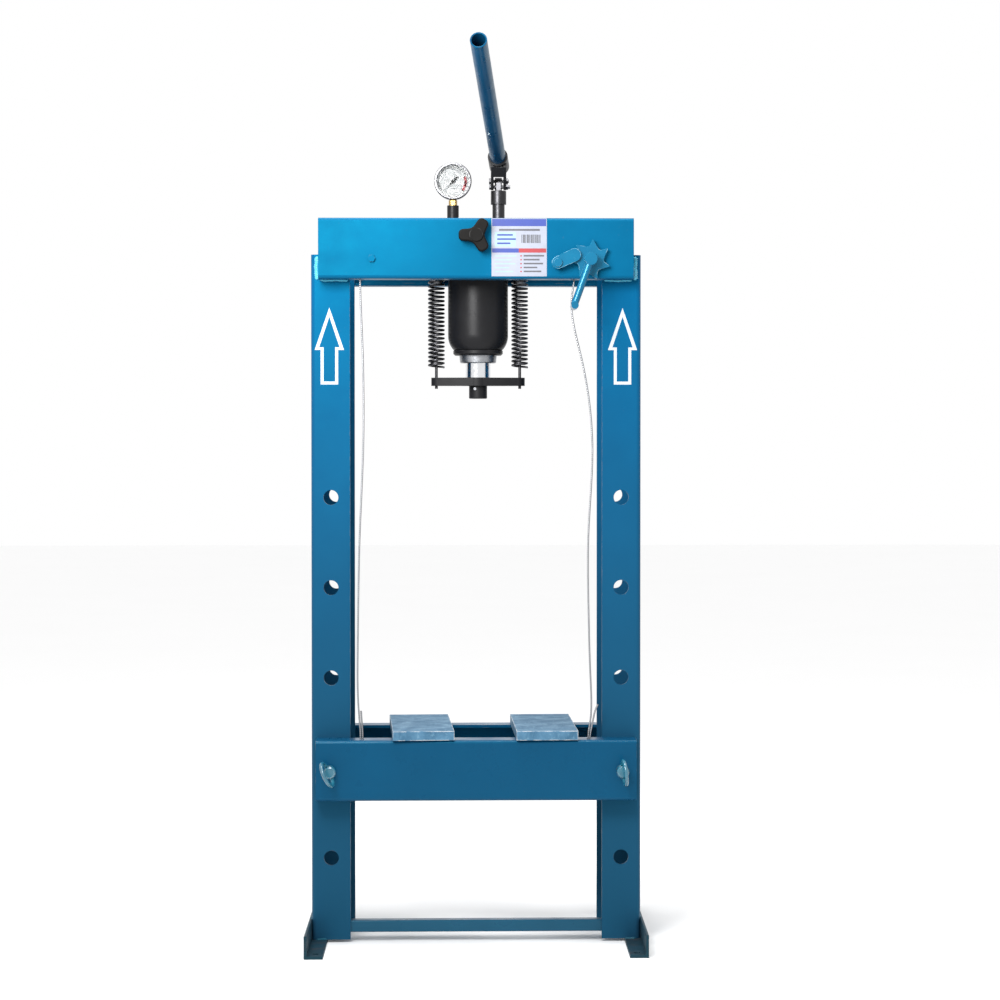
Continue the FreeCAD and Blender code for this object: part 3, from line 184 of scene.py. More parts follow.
# ---- material building blocks --------------------------------------------------------------------
class Shader:
    """One material with a Principled surface, and short calls that add the usual nodes to it."""

    def __init__(self, name, roughness=0.4, metallic=0.0):
        self.material = bpy.data.materials.new(name)
        self.material.use_nodes = True
        self.nodes = self.material.node_tree.nodes
        self.links = self.material.node_tree.links
        self.surface = self.nodes["Principled BSDF"]
        self.surface.inputs["Roughness"].default_value = roughness
        self.surface.inputs["Metallic"].default_value = metallic
        self.where = self.nodes.new("ShaderNodeTexCoord").outputs["Object"]

    def socket(self, name, value):
        """Sets an input of the surface to a value, or links a node's output to it."""
        if hasattr(value, "is_output"):
            self.links.new(value, self.surface.inputs[name])
        else:
            self.surface.inputs[name].default_value = value

    def feed(self, target, value):
        """Sets any node's input to a value, or links a node's output to it."""
        if hasattr(value, "is_output"):
            self.links.new(value, target)
        elif isinstance(value, tuple) and len(value) == 3 and target.type == "RGBA":
            target.default_value = (*value, 1.0)
        else:
            target.default_value = value

    def noise(self, scale, detail=3.0, roughness=0.55, stretch=None, distortion=0.0):
        node = self.nodes.new("ShaderNodeTexNoise")
        node.inputs["Scale"].default_value = scale
        node.inputs["Detail"].default_value = detail
        node.inputs["Roughness"].default_value = roughness
        node.inputs["Distortion"].default_value = distortion
        place_at = self.where
        if stretch is not None:
            mapping = self.nodes.new("ShaderNodeMapping")
            mapping.inputs["Scale"].default_value = stretch
            self.links.new(self.where, mapping.inputs["Vector"])
            place_at = mapping.outputs["Vector"]
        self.links.new(place_at, node.inputs["Vector"])
        return node.outputs["Fac"]

    def ramp(self, value, low, high, start=0.0, end=1.0):
        """start at low and below, end at high and above, and even in between."""
        node = self.nodes.new("ShaderNodeMapRange")
        node.inputs["From Min"].default_value = low
        node.inputs["From Max"].default_value = high
        node.inputs["To Min"].default_value = start
        node.inputs["To Max"].default_value = end
        self.links.new(value, node.inputs["Value"])
        return node.outputs["Result"]

    def maths(self, operation, a, b):
        node = self.nodes.new("ShaderNodeMath")
        node.operation = operation
        node.use_clamp = True
        self.feed(node.inputs[0], a)
        self.feed(node.inputs[1], b)
        return node.outputs[0]

    def mix(self, amount, a, b):
        node = self.nodes.new("ShaderNodeMix")
        node.data_type = "RGBA"
        self.feed(node.inputs["Factor"], amount)
        self.feed(node.inputs[6], a)
        self.feed(node.inputs[7], b)
        return node.outputs[2]

    def edges(self, radius=0.0012):
        """1 along sharp edges, 0 elsewhere: how far a rounded normal turns from the flat one."""
        no_turn = 0.996
        full_turn = 0.94
        bevel = self.nodes.new("ShaderNodeBevel")
        bevel.samples = 6
        bevel.inputs["Radius"].default_value = radius
        flat = self.nodes.new("ShaderNodeNewGeometry").outputs["Normal"]
        turn = self.nodes.new("ShaderNodeVectorMath")
        turn.operation = "DOT_PRODUCT"
        self.links.new(bevel.outputs["Normal"], turn.inputs[0])
        self.links.new(flat, turn.inputs[1])
        return self.ramp(turn.outputs["Value"], no_turn, full_turn)

    def height(self):
        """Height above the floor, in metres."""
        split = self.nodes.new("ShaderNodeSeparateXYZ")
        self.links.new(self.where, split.inputs[0])
        return split.outputs["Z"]

    def bump(self, value, strength, distance, rounding=0.0):
        """Fine relief, over edges that look rounded by the given radius."""
        node = self.nodes.new("ShaderNodeBump")
        node.inputs["Strength"].default_value = strength
        node.inputs["Distance"].default_value = distance
        self.links.new(value, node.inputs["Height"])
        if rounding:
            bevel = self.nodes.new("ShaderNodeBevel")
            bevel.samples = 4
            bevel.inputs["Radius"].default_value = rounding
            self.links.new(bevel.outputs["Normal"], node.inputs["Normal"])
        self.links.new(node.outputs["Normal"], self.surface.inputs["Normal"])


BLUE_SHEEN = (0.02, 0.75, 1.0)
NEUTRAL = (1.0, 1.0, 1.0)
BARE_GREY = (0.10, 0.11, 0.12)
RUST_BROWN = (0.085, 0.045, 0.028)


def paint(name, colour, dark, roughness=0.38, chip_and_glint=BARE_GREY, rust=0.0, coat=0.0, shine=0.22,
          sheen_colour=BLUE_SHEEN, painted_shade_low_colour=None):
    """Sprayed enamel: orange peel, patches, edge marks, rust low down, and painted shade low down."""
    shader = Shader(name, roughness)
    patches = shader.ramp(shader.noise(7.0, 4.0), 0.35, 0.70)
    body = shader.mix(patches, colour, dark)
    if painted_shade_low_colour is not None:
        # Painted shade: the paint turns darker from 1.10 m down to 0.30 m above the floor.
        body = shader.mix(shader.ramp(shader.height(), 1.10, 0.30), body, painted_shade_low_colour)
    specks = shader.ramp(shader.noise(180.0, 4.0, 0.7), 0.66, 0.74)
    # Edge marks and flecks take the chip colour: chipped paint where it is dark, a painted highlight where it
    # is light.
    mark_mask = shader.maths("MULTIPLY", shader.edges(), shader.ramp(shader.noise(60.0, 5.0, 0.65), 0.50, 0.62))
    mark_mask = shader.maths("MAXIMUM", mark_mask, shader.maths("MULTIPLY", specks, 0.12))
    if rust > 0:
        low_down = shader.ramp(shader.height(), 0.16, 0.0)
        blotches = shader.ramp(shader.noise(45.0, 6.0, 0.7, distortion=0.6), 0.52, 0.66)
        rusted = shader.maths("MULTIPLY", shader.maths("MULTIPLY", low_down, blotches), rust)
        body = shader.mix(rusted, body, RUST_BROWN)
    shader.socket("Base Color", shader.mix(mark_mask, body, chip_and_glint))
    uneven = shader.noise(25.0, 5.0)
    shader.socket("Roughness", shader.ramp(uneven, 0.3, 0.7, roughness - 0.08, roughness + 0.12))
    shader.surface.inputs["Specular IOR Level"].default_value = shine
    shader.surface.inputs["Specular Tint"].default_value = (*sheen_colour, 1.0)
    shader.surface.inputs["Coat Weight"].default_value = coat
    shader.surface.inputs["Coat Roughness"].default_value = 0.14
    shader.bump(shader.noise(520.0, 2.0), 0.12, 0.0006, rounding=0.0008)
    return shader.material


def metal(name, colour, roughness, grain=(1.0, 1.0, 1.0), dirt=0.3, dirt_colour=(0.03, 0.03, 0.032)):
    """Bare or plated metal with fine grain, smears and a little dirt."""
    shader = Shader(name, roughness, metallic=1.0)
    smear = shader.ramp(shader.noise(22.0, 5.0, 0.6, distortion=0.4), 0.42, 0.72)
    soil = shader.maths("MULTIPLY", smear, dirt)
    shader.socket("Base Color", shader.mix(soil, colour, dirt_colour))
    lines = shader.noise(300.0, 3.0, 0.6, stretch=grain)
    shader.socket("Roughness", shader.ramp(lines, 0.3, 0.7, max(roughness - 0.08, 0.03), roughness + 0.14))
    shader.bump(lines, 0.10, 0.0004, rounding=0.0004)
    return shader.material


def plastic(name, colour, roughness, coat=0.0):
    """Moulded plastic or rubber with a fine grain."""
    shader = Shader(name, roughness)
    lighter = tuple(min(1.0, c * 1.25 + 0.004) for c in colour)
    shader.socket("Base Color", shader.mix(shader.ramp(shader.noise(40.0, 4.0), 0.35, 0.7), colour, lighter))
    grain = shader.noise(350.0, 3.0)
    shader.socket("Roughness", shader.ramp(grain, 0.3, 0.7, max(roughness - 0.05, 0.03), roughness + 0.08))
    shader.surface.inputs["Coat Weight"].default_value = coat
    shader.bump(grain, 0.06, 0.0004, rounding=0.0005)
    return shader.material


def cable_material():
    """Wire rope: slanting strands along the mostly upright cables."""
    shader = Shader("wire_rope", 0.42, metallic=1.0)
    strands = shader.nodes.new("ShaderNodeTexWave")
    strands.wave_type = "BANDS"
    strands.bands_direction = "DIAGONAL"
    strands.inputs["Scale"].default_value = 190.0
    strands.inputs["Distortion"].default_value = 0.6
    shader.links.new(shader.where, strands.inputs["Vector"])
    shader.socket("Base Color", shader.mix(strands.outputs["Fac"], (0.10, 0.10, 0.105), (0.50, 0.51, 0.53)))
    shader.bump(strands.outputs["Fac"], 0.6, 0.0005)
    return shader.material


def plate_material():
    """Loose press plates: thin blue-grey paint rubbed through to steel, with bright flame-cut edges."""
    shader = Shader("worn_plate_paint", 0.55, metallic=0.3)
    scale = shader.ramp(shader.noise(28.0, 6.0, 0.65, distortion=0.5), 0.40, 0.66)
    body = shader.mix(scale, (0.034, 0.118, 0.205), (0.085, 0.210, 0.330))
    across = shader.noise(170.0, 4.0, 0.7, stretch=(1.0, 0.25, 1.0))
    streaks = shader.maths("MULTIPLY", shader.ramp(across, 0.56, 0.72), 0.5)
    body = shader.mix(streaks, body, (0.20, 0.36, 0.47))
    mark_mask = shader.maths("MULTIPLY", shader.edges(0.0025), shader.ramp(shader.noise(90.0, 4.0), 0.36, 0.56))
    shader.socket("Base Color", shader.mix(mark_mask, body, (0.55, 0.58, 0.60)))
    shader.socket("Roughness", shader.ramp(scale, 0.0, 1.0, 0.62, 0.46))
    shader.bump(shader.noise(130.0, 5.0, 0.65), 0.30, 0.0010, rounding=0.0014)
    return shader.material


def glass_material():
    """The gauge's clear window, slightly uneven."""
    shader = Shader("window_glass", 0.04)
    shader.socket("Base Color", (0.96, 0.97, 0.97, 1.0))
    shader.surface.inputs["Transmission Weight"].default_value = 1.0
    shader.surface.inputs["IOR"].default_value = 1.1
    shader.socket("Roughness", shader.ramp(shader.noise(70.0, 4.0), 0.3, 0.7, 0.02, 0.07))
    return shader.material


def flat_print(name, colour):
    """Printed vinyl or enamel, very slightly mottled."""
    shader = Shader(name, 0.45)
    duller = tuple(c * 0.88 for c in colour)
    shader.socket("Base Color", shader.mix(shader.ramp(shader.noise(60.0, 4.0), 0.40, 0.75), colour, duller))
    shader.bump(shader.noise(400.0, 2.0), 0.04, 0.0003)
    return shader.material


# ---- materials -----------------------------------------------------------------------------------
BLUE = (0.002, 0.072, 0.156)
BLUE_DARK = (0.002, 0.060, 0.132)
# The bed's blues: the frame's enamel made darker, a painted shade on the low bed beams.
BED_BLUE = (0.003, 0.057, 0.130)
BED_BLUE_DARK = (0.003, 0.050, 0.115)
POST_BLUE = (0.002, 0.072, 0.174)
POST_BLUE_DARK = (0.002, 0.060, 0.148)
# The posts' painted shade: the darker blue they turn to towards the floor.
POST_BLUE_PAINTED_SHADE = (0.011, 0.057, 0.114)
MATERIALS = {
    "frame_paint": paint("blue_enamel", BLUE, BLUE_DARK),
    "bed_paint": paint("blue_enamel_bed", BED_BLUE, BED_BLUE_DARK, 0.30, coat=0.15),
    "post_paint": paint("blue_enamel_posts", POST_BLUE, POST_BLUE_DARK, painted_shade_low_colour=POST_BLUE_PAINTED_SHADE),
    "brace_paint": paint("blue_enamel_brace", (0.012, 0.068, 0.126), (0.010, 0.056, 0.104), 0.30, coat=0.2),
    "foot_paint": paint("blue_enamel_feet", (0.012, 0.040, 0.062), (0.022, 0.034, 0.042), 0.50, rust=0.35),
    # The pins' bright turquoise and near-white edge marks: a painted highlight on their blue paint.
    "pin_paint": paint(
        "blue_pins_painted_highlight", (0.016, 0.175, 0.255), (0.012, 0.085, 0.135), 0.24, chip_and_glint=(0.70, 0.80, 0.84),
        coat=0.5, shine=0.8, sheen_colour=NEUTRAL),
    # The winch's light blue-white chip colour: a painted highlight along the ratchet, pawl and crank edges.
    "winch_paint": paint(
        "blue_enamel_winch", (0.004, 0.082, 0.165), (0.004, 0.060, 0.122), 0.28, chip_and_glint=(0.30, 0.52, 0.62),
        coat=0.35, shine=0.5),
    "jack_black": paint(
        "black_enamel", (0.006, 0.006, 0.007), (0.011, 0.011, 0.012), 0.34, chip_and_glint=(0.04, 0.04, 0.04),
        shine=0.16, sheen_colour=NEUTRAL),
    "bright_chrome": metal("hard_chrome", (0.78, 0.79, 0.81), 0.10, (1.0, 1.0, 12.0), 0.10),
    "zinc_steel": metal("zinc_plate", (0.36, 0.37, 0.39), 0.34, dirt=0.35),
    "dark_steel": metal("oiled_steel", (0.050, 0.050, 0.053), 0.36, dirt=0.45),
    # The pump plunger and lever pins: a dark grey in place of their chrome, a painted shade between the
    # lever's cheeks.
    "plunger_steel": metal("plunger_painted_shade", (0.16, 0.16, 0.17), 0.34, dirt=0.5),
    "cross_paint": paint(
        "black_plate", (0.005, 0.005, 0.006), (0.010, 0.010, 0.011), 0.42, chip_and_glint=(0.05, 0.05, 0.05),
        shine=0.16, sheen_colour=NEUTRAL),
    "spring_steel": metal("spring_wire", (0.060, 0.060, 0.065), 0.32, dirt=0.35),
    "cable_steel": cable_material(),
    "plate_steel": plate_material(),
    "brass": metal("brass", (0.50, 0.34, 0.12), 0.28, dirt=0.35, dirt_colour=(0.12, 0.07, 0.02)),
    "gauge_black": plastic("gauge_black", (0.012, 0.012, 0.012), 0.22, coat=0.4),
    "bezel_steel": metal("polished_bezel", (0.20, 0.20, 0.21), 0.22, dirt=0.2),
    "window_glass": glass_material(),
    "dial_white": flat_print("dial_white", (0.60, 0.60, 0.595)),
    "knob_iron": paint(
        "knob_casting", (0.0030, 0.0028, 0.0026), (0.006, 0.0056, 0.0052), 0.50, chip_and_glint=(0.05, 0.05, 0.05),
        shine=0.07, sheen_colour=NEUTRAL),
    "lever_paint": paint(
        "black_lever", (0.006, 0.006, 0.007), (0.012, 0.012, 0.013), 0.34, chip_and_glint=(0.06, 0.06, 0.06),
        shine=0.25, sheen_colour=NEUTRAL),
    "handle_paint": paint(
        "blue_enamel_handle", (0.002, 0.038, 0.092), (0.002, 0.024, 0.060), 0.30, chip_and_glint=(0.05, 0.05, 0.05),
        shine=0.4),
    "seal_rubber": plastic("seal_rubber", (0.015, 0.015, 0.015), 0.65),
    # The weld's bright light blue and near-white edge marks: a painted highlight on the beads; weld_low keeps
    # a darker blue.
    "weld": paint(
        "painted_weld", (0.100, 0.430, 0.580), (0.040, 0.260, 0.400), 0.26, chip_and_glint=(0.60, 0.80, 0.86),
        coat=0.4, shine=0.7),
    "weld_low": paint(
        "painted_weld_low", (0.012, 0.085, 0.140), (0.014, 0.050, 0.080), 0.32, chip_and_glint=(0.20, 0.30, 0.34),
        coat=0.2, shine=0.4),
    "sticker_white": flat_print("sticker_white", (0.42, 0.46, 0.50)),
    "label_ground": flat_print("label_ground", (0.220, 0.236, 0.288)),
    "sticker_blue": flat_print("sticker_blue", (0.005, 0.024, 0.190)),
    "sticker_red": flat_print("sticker_red", (0.230, 0.008, 0.014)),
    "sticker_grey": flat_print("sticker_grey", (0.050, 0.050, 0.060)),
    "print_black": flat_print("print_black", (0.02, 0.02, 0.02)),
    "sticker_pale": flat_print("sticker_pale", (0.20, 0.30, 0.33)),
}
CABLE_NODES = ("lift_cable_left", "lift_cable_right")
NODE_MATERIALS = {
    "left_post": "post_paint", "right_post": "post_paint", "base_brace": "brace_paint",
    "bed_beam_front": "bed_paint", "bed_beam_rear": "bed_paint", "bed_spacers": "bed_paint",
    "pump_plunger": "plunger_steel", "lever_pins": "plunger_steel", "gauge_bezel": "bezel_steel",
    "left_foot": "foot_paint", "right_foot": "foot_paint",
    "lock_pin_left": "pin_paint", "lock_pin_right": "pin_paint",
    "pin_ring_left": "pin_paint", "pin_ring_right": "pin_paint",
    "ratchet_wheel": "winch_paint", "crank": "winch_paint", "pawl": "winch_paint", "pawl_bolt": "winch_paint",
    "cross_plate": "cross_paint", "ram_tip": "cross_paint", "handle_tube": "handle_paint",
}


def paint_nodes():
    """Every CAD node takes the material of its slot, or its own from the table above."""
    slots = {entry["node"]: entry["material_slot"] for entry in frame["record"]["subparts"]}
    for name, node in frame["nodes"].items():
        if name in CABLE_NODES:
            continue
        node.data.materials.clear()
        node.data.materials.append(MATERIALS[NODE_MATERIALS.get(name, slots[name])])


paint_nodes()
for cable_piece in (LEFT_CABLE, RIGHT_CABLE):
    cable_piece.data.materials.append(MATERIALS["cable_steel"])


# ---- mesh pieces ---------------------------------------------------------------------------------
def mesh_piece(name, vertices, faces, material, body="frame", smooth=False):
    """A closed or open mesh in the row frame, riding on a body."""
    mesh = bpy.data.meshes.new(name)
    mesh.from_pydata([tuple(v) for v in vertices], [], faces)
    mesh.validate()
    mesh.update()
    mesh.materials.append(MATERIALS[material])
    for polygon in mesh.polygons:
        polygon.use_smooth = smooth
    piece = bpy.data.objects.new(name, mesh)
    bpy.context.scene.collection.objects.link(piece)
    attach(piece, body)


def slab(name, outline, y, thickness, material, body="frame"):
    """A thin plate in an upright plane: outline in (x, z) mm, its back at y."""
    count = len(outline)
    vertices = [place(x, y, z) for x, z in outline] + [place(x, y - thickness, z) for x, z in outline]
    faces = [tuple(range(count)), tuple(range(2 * count - 1, count - 1, -1))]
    for i in range(count):
        j = (i + 1) % count
        faces.append((i, i + count, j + count, j))
    mesh_piece(name, vertices, faces, material, body)


def ring_slab(name, outline, inner, y, thickness, material):
    """A thin plate with one hole. Both outlines have the same number of points."""
    count = len(outline)
    front = 2 * count
    vertices = []
    for depth in (y, y - thickness):
        vertices += [place(x, depth, z) for x, z in outline]
        vertices += [place(x, depth, z) for x, z in inner]
    faces = []
    for i in range(count):
        j = (i + 1) % count
        faces.append((i, j, j + count, i + count))
        faces.append((i + front, i + count + front, j + count + front, j + front))
        faces.append((i, i + front, j + front, j))
        faces.append((i + count, j + count, j + count + front, i + count + front))
    mesh_piece(name, vertices, faces, material)


BEAD_STEP = 0.8
BEAD_SIDES = 8
BEAD_TAPER = 4.0


def bead(name, start, end, out, width, height, seed, material="weld"):
    """A weld bead from start to end (mm): a low rippled ridge standing towards out."""
    start, end, out = Vector(start), Vector(end), Vector(out).normalized()
    run = end - start
    length = run.length
    along = run.normalized()
    across = along.cross(out).normalized()
    steps = max(6, int(length / BEAD_STEP))
    vertices = []
    for i in range(steps + 1):
        t = i / steps
        at = t * length
        ripple = 1.0 + 0.16 * math.sin(at * 2.1 + seed) + 0.08 * math.sin(at * 0.53 + 2 * seed)
        taper = min(1.0, 0.25 + min(t, 1 - t) * length / BEAD_TAPER)
        wander = 0.5 * math.sin(at * 0.21 + seed * 3)
        for k in range(BEAD_SIDES + 1):
            a = math.pi * k / BEAD_SIDES
            side = across * (math.cos(a) * width / 2 * ripple * taper + wander)
            rise = out * (math.sin(a) * height * ripple * taper)
            vertices.append(place(*(start + along * at + side + rise)))
    faces = []
    row = BEAD_SIDES + 1
    for i in range(steps):
        for k in range(BEAD_SIDES):
            a = i * row + k
            faces.append((a, a + 1, a + row + 1, a + row))
    mesh_piece(name, vertices, faces, material, smooth=True)


# ---- welds ---------------------------------------------------------------------------------------
POST_FRONT_Y = -89.0
BEAM_FRONT_Y = -129.0
POST_OUTER_X = 277.5
POST_INNER_X = 212.0
TOP_BEAM_LOW_Z = 1116.4
TOP_BEAM_END_X = 267.2
BEAM_WEB_Y = 123.6
POST_TOP_Z = 1159.0
WELD_CLEARANCE = 0.4
SPACER_X = 150.0
SPACER_WELD_Z = 288.4
JACK_PLATE_X = 3.5
JACK_PLATE_WELD_X = 72.0
JACK_PLATE_WELD_Z = 1152.4
FOOT_WELD_Z = 5.0
FOOT_RIM_Z = 38.3
FOOT_WELD_END_Y = 80.0
BRACE_WELD_Y = -62.6
BRACE_TOP_WELD_Y = (-80.0, -65.0)
BRACE_WELD_Z = (18.0, 34.0)
BRACE_END_X = 271.0
BRACE_TOP_Z = 36.2


def weld_corner(side, back, tag):
    """The beads at one of the press's four corners: side is -1 left, 1 right; back is -1 front, 1 rear."""
    post_y = back * (-POST_FRONT_Y + WELD_CLEARANCE)
    under_z = TOP_BEAM_LOW_Z - WELD_CLEARANCE
    web_y = back * BEAM_WEB_Y
    bead(f"weld_top_{tag}", (side * TOP_BEAM_END_X, post_y, TOP_BEAM_LOW_Z),
         (side * TOP_BEAM_END_X, post_y, POST_TOP_Z - 3), (side * 0.5, back, 0), 8.5, 4.2, side + back)
    bead(f"weld_under_{tag}", (side * (POST_INNER_X + 3), post_y, under_z),
         (side * (TOP_BEAM_END_X - 5.2), post_y, under_z), (0, back, -0.8), 4.5, 2.0, side * 2 + back)
    bead(f"weld_foot_{tag}", (side * (POST_OUTER_X - 26), post_y, FOOT_WELD_Z),
         (side * (POST_OUTER_X - 7), post_y, FOOT_WELD_Z), (0, back, 0.8), 5.0, 2.4, side * 3 + back,
         "weld_low")
    spacer_x = side * SPACER_X
    bead(f"weld_spacer_{tag}", (spacer_x - 14, web_y, SPACER_WELD_Z), (spacer_x + 14, web_y, SPACER_WELD_Z),
         (0, -back, 1), 4.0, 2.0, side * 6 + back)
    plate_x = JACK_PLATE_X + side * JACK_PLATE_WELD_X
    bead(f"weld_plate_{tag}", (plate_x - 8, web_y, JACK_PLATE_WELD_Z),
         (plate_x + 8, web_y, JACK_PLATE_WELD_Z), (0, -back, 1), 4.5, 2.2, side * 7 + back)


def make_welds():
    """Beads where the top beams, the brace, the spacers and the feet meet their neighbours."""
    for side, label in ((-1, "left"), (1, "right")):
        for back, end in ((-1, "front"), (1, "rear")):
            weld_corner(side, back, f"{end}_{label}")
        outer_x = side * (POST_OUTER_X + WELD_CLEARANCE)
        bead(f"weld_foot_side_{label}", (outer_x, -FOOT_WELD_END_Y, FOOT_RIM_Z),
             (outer_x, FOOT_WELD_END_Y, FOOT_RIM_Z), (side, 0, 0.9), 4.5, 2.2, side, "weld_low")
        low, high = [(side * BRACE_END_X, BRACE_WELD_Y, z) for z in BRACE_WELD_Z]
        bead(f"weld_brace_{label}", low, high, (-side, 1, 0), 4.0, 2.0, side * 4, "weld_low")
        front, rear = [(side * (BRACE_END_X - 0.2), y, BRACE_TOP_Z) for y in BRACE_TOP_WELD_Y]
        bead(f"weld_brace_top_{label}", front, rear, (-side, 0, 1), 4.0, 2.0, side * 5, "weld_low")


# ---- stickers ------------------------------------------------------------------------------------
ARROW_X = 246.5
ARROW_BORDER = 5.0
LABEL_LEFT_X = 25.5
LABEL_RIGHT_X = 117.6
LABEL_LOW_Z = 1120.5
LABEL_TOP_Z = 1217.0
LABEL_MARGIN = 1.0
LABEL_SPLIT_X = 71.0
STICKER_GAP = 0.05
STICKER_THICKNESS = 0.12
INK = 0.06


def arrow_outline(x, inset):
    """An upright arrow, or the same arrow with every side moved inwards."""
    tip, shoulder, low = 1070.0, 999.0, 941.0
    head, shaft = 24.6, 14.7
    tip_z = tip - inset * 3.0
    shoulder_z = shoulder + inset * 0.9
    low_z = low + inset
    head_x = head - inset * 1.5
    shaft_x = shaft - inset
    return [
        (x, tip_z), (x + head_x, shoulder_z), (x + shaft_x, shoulder_z), (x + shaft_x, low_z),
        (x - shaft_x, low_z), (x - shaft_x, shoulder_z), (x - head_x, shoulder_z),
    ]


def rectangle(x0, z0, x1, z1):
    return [(x0, z0), (x1, z0), (x1, z1), (x0, z1)]


def make_arrows():
    for x, label in ((-ARROW_X, "left"), (ARROW_X, "right")):
        ring_slab(f"arrow_{label}", arrow_outline(x, 0.0), arrow_outline(x, ARROW_BORDER),
                  POST_FRONT_Y - STICKER_GAP, STICKER_THICKNESS, "sticker_white")


def make_label():
    """The printed label's panels, with plain bars where the words and codes would be."""
    y = BEAM_FRONT_Y - STICKER_GAP
    ground = rectangle(LABEL_LEFT_X, LABEL_LOW_Z, LABEL_RIGHT_X, LABEL_TOP_Z)
    slab("label_ground", ground, y, STICKER_THICKNESS, "label_ground")
    front = y - STICKER_THICKNESS
    left = LABEL_LEFT_X + LABEL_MARGIN
    right = LABEL_RIGHT_X - LABEL_MARGIN
    slab("label_header", rectangle(left, 1204, right, LABEL_TOP_Z - LABEL_MARGIN), front, INK, "sticker_blue")
    slab("label_title", rectangle(38.0, 1196.2, 106.0, 1199.4), front, INK, "sticker_grey")
    slab("label_tint", rectangle(31.0, 1170, 66.0, 1194), front, INK, "sticker_pale")
    for i, width in enumerate((26.0, 31.0, 22.0)):
        low = 1188.0 - i * 7.0
        slab(f"label_data_{i}", rectangle(35.0, low, 35.0 + width, low + 2.8), front - INK, 0.05,
             "sticker_blue")
    bars = 14
    for i in range(bars):
        bar_x = 75.5 + i * 2.3
        thick = 1.5 if i % 3 else 0.9
        slab(f"label_bar_{i}", rectangle(bar_x, 1176, bar_x + thick, 1190), front, INK, "print_black")
    slab("label_left_strip", rectangle(left, 1160, LABEL_SPLIT_X, 1167), front, INK, "sticker_blue")
    slab("label_right_strip", rectangle(LABEL_SPLIT_X, 1160, right, 1167), front, INK, "sticker_red")
    for i, width in enumerate((36.0, 28.0, 34.0, 24.0, 31.0)):
        low = 1153.5 - i * 6.5
        slab(f"label_left_note_{i}", rectangle(31.0, low, 31.0 + width, low + 1.8), front, INK,
             "sticker_pale")
        slab(f"label_right_note_{i}", rectangle(79.0, low, 79.0 + width * 0.95, low + 2.6), front, INK,
             "sticker_grey")
        slab(f"label_mark_{i}", rectangle(73.5, low, 76.0, low + 2.2), front, INK, "sticker_red")


# ---- gauge face ----------------------------------------------------------------------------------
GAUGE_CENTRE = (-39.4, 1290.0)
DIAL_FRONT_Y = -3.0
NEEDLE_CAP_Y = -5.6
NEEDLE_CAP_R = 3.4
SCALE_START = 223.0
SCALE_END = -43.0
SCALE_LINE_R = 24.3
RED_ZONE_START = 22.0
PRINT_THICKNESS = 0.1


def dial_point(angle, radius):
    """A point (x, z) on the dial, from its centre."""
    a = math.radians(angle)
    return (GAUGE_CENTRE[0] + radius * math.cos(a), GAUGE_CENTRE[1] + radius * math.sin(a))


def arc_band(start, end, inner, outer, steps):
    """The outline of a curved strip between two angles and two radii."""
    angles = [start + (end - start) * i / steps for i in range(steps + 1)]
    return [dial_point(a, outer) for a in angles] + [dial_point(a, inner) for a in reversed(angles)]


def make_dial():
    """Plain scale: outer line, long and short marks, and a red end zone."""
    printed_y = DIAL_FRONT_Y - 0.02
    slab("dial_red_zone", arc_band(RED_ZONE_START, SCALE_END, 19.4, 23.7, 20), printed_y, PRINT_THICKNESS,
         "sticker_red")
    slab("dial_scale_line", arc_band(SCALE_START, SCALE_END, SCALE_LINE_R, SCALE_LINE_R + 0.5, 60), printed_y,
         PRINT_THICKNESS, "print_black")
    marks = 40
    for i in range(marks + 1):
        angle = SCALE_START + (SCALE_END - SCALE_START) * i / marks
        long_mark = i % 5 == 0
        inner = 20.5 if long_mark else 22.6
        half = 0.9 if long_mark else 0.45
        outline = arc_band(angle - half, angle + half, inner, SCALE_LINE_R, 1)
        slab(f"dial_mark_{i}", outline, DIAL_FRONT_Y - 0.13, 0.08, "print_black")
    slab("dial_plate_line", arc_band(200.0, 340.0, 12.0, 12.35, 24), printed_y, PRINT_THICKNESS,
         "sticker_grey")
    cap = [dial_point(a * 15.0, NEEDLE_CAP_R) for a in range(24)]
    slab("needle_cap", cap, NEEDLE_CAP_Y, 0.7, "gauge_black", "needle")


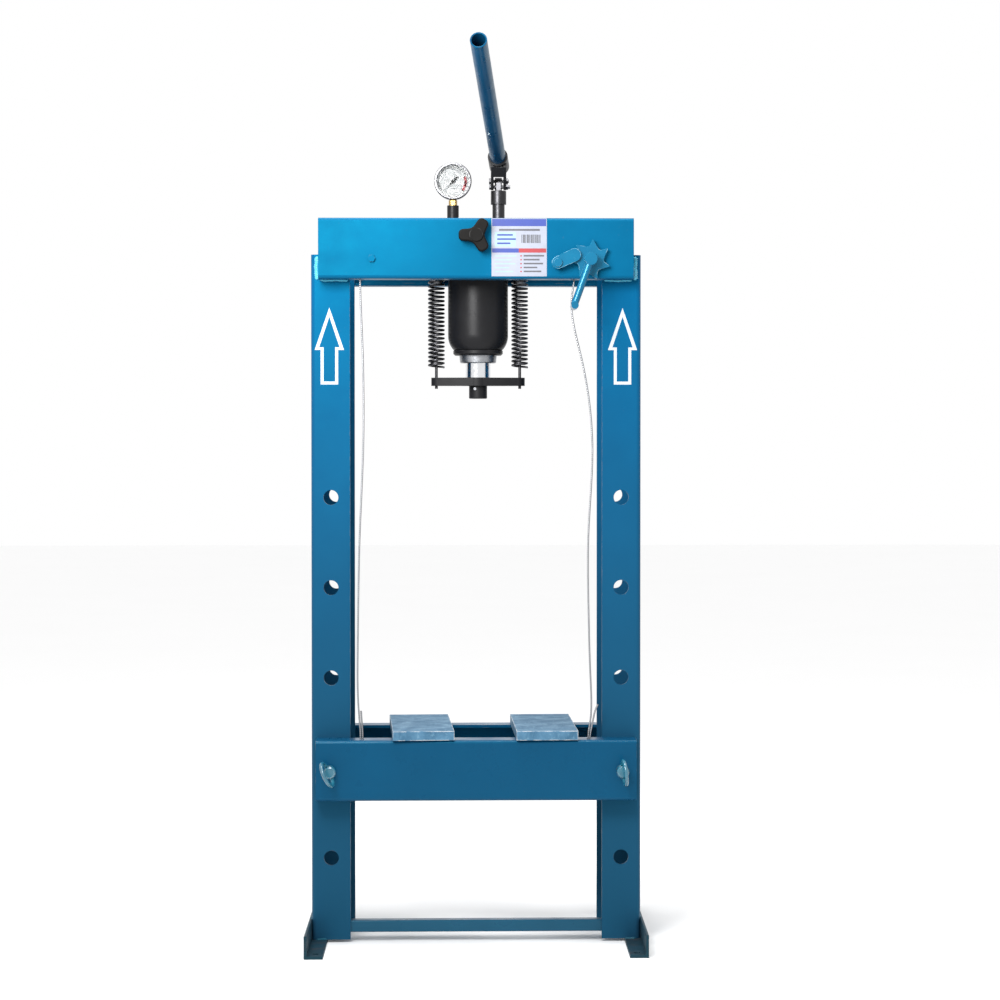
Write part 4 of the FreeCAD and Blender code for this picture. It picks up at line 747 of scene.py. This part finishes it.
# ---- return springs ------------------------------------------------------------------------------
def make_springs():
    """Copies of the coils, which run between their top anchors, on the frame, and their lower plugs, on the
    ram, take the spring material in place of the hidden CAD coils.
    """
    for name in ("return_spring_left", "return_spring_right"):
        source = frame["nodes"][name]
        piece = bpy.data.objects.new(name + "_coil", source.data.copy())
        bpy.context.scene.collection.objects.link(piece)
        piece.data.materials.clear()
        piece.data.materials.append(MATERIALS["spring_steel"])
        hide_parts(name)
        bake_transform(piece)


make_welds()
make_arrows()
make_label()
make_dial()
make_springs()


# ---- floor and light -----------------------------------------------------------------------------
def make_floor():
    mesh = bpy.data.meshes.new("floor")
    reach = 14.0
    corners = [(-reach, -reach, 0), (reach, -reach, 0), (reach, reach, 0), (-reach, reach, 0)]
    mesh.from_pydata(corners, [], [(0, 1, 2, 3)])
    shader = Shader("floor_white", 0.9)
    shader.socket("Base Color", shader.mix(shader.noise(2.0), (0.97, 0.97, 0.97), (0.95, 0.95, 0.95)))
    mesh.materials.append(shader.material)
    floor = bpy.data.objects.new("floor", mesh)
    bpy.context.scene.collection.objects.link(floor)


def area_light(name, position, target, size, power, spread=180.0):
    """A rectangular lamp at a position (mm), turned to its target; size in metres, power in watts."""
    data = bpy.data.lights.new(name, "AREA")
    data.shape = "RECTANGLE"
    data.size = size[0]
    data.size_y = size[1]
    data.energy = power
    data.spread = math.radians(spread)
    light = bpy.data.objects.new(name, data)
    light.location = place(*position)
    light.rotation_euler = (place(*target) - place(*position)).to_track_quat("-Z", "Y").to_euler()
    bpy.context.scene.collection.objects.link(light)


def make_light():
    world = bpy.data.worlds.new("studio")
    world.use_nodes = True
    background = world.node_tree.nodes["Background"]
    background.inputs["Color"].default_value = (1.0, 1.0, 1.0, 1.0)
    background.inputs["Strength"].default_value = 1.0
    bpy.context.scene.world = world
    area_light("key", (-450, -1250, 1500), (-40, -100, 1160), (0.6, 0.6), 12.5, 100.0)
    area_light("overhead", (-100, -260, 2350), (0, -110, 350), (1.4, 0.45), 30.0)
    scene = bpy.context.scene
    scene.view_settings.view_transform = "Standard"
    scene.view_settings.look = "None"


make_floor()
make_light()
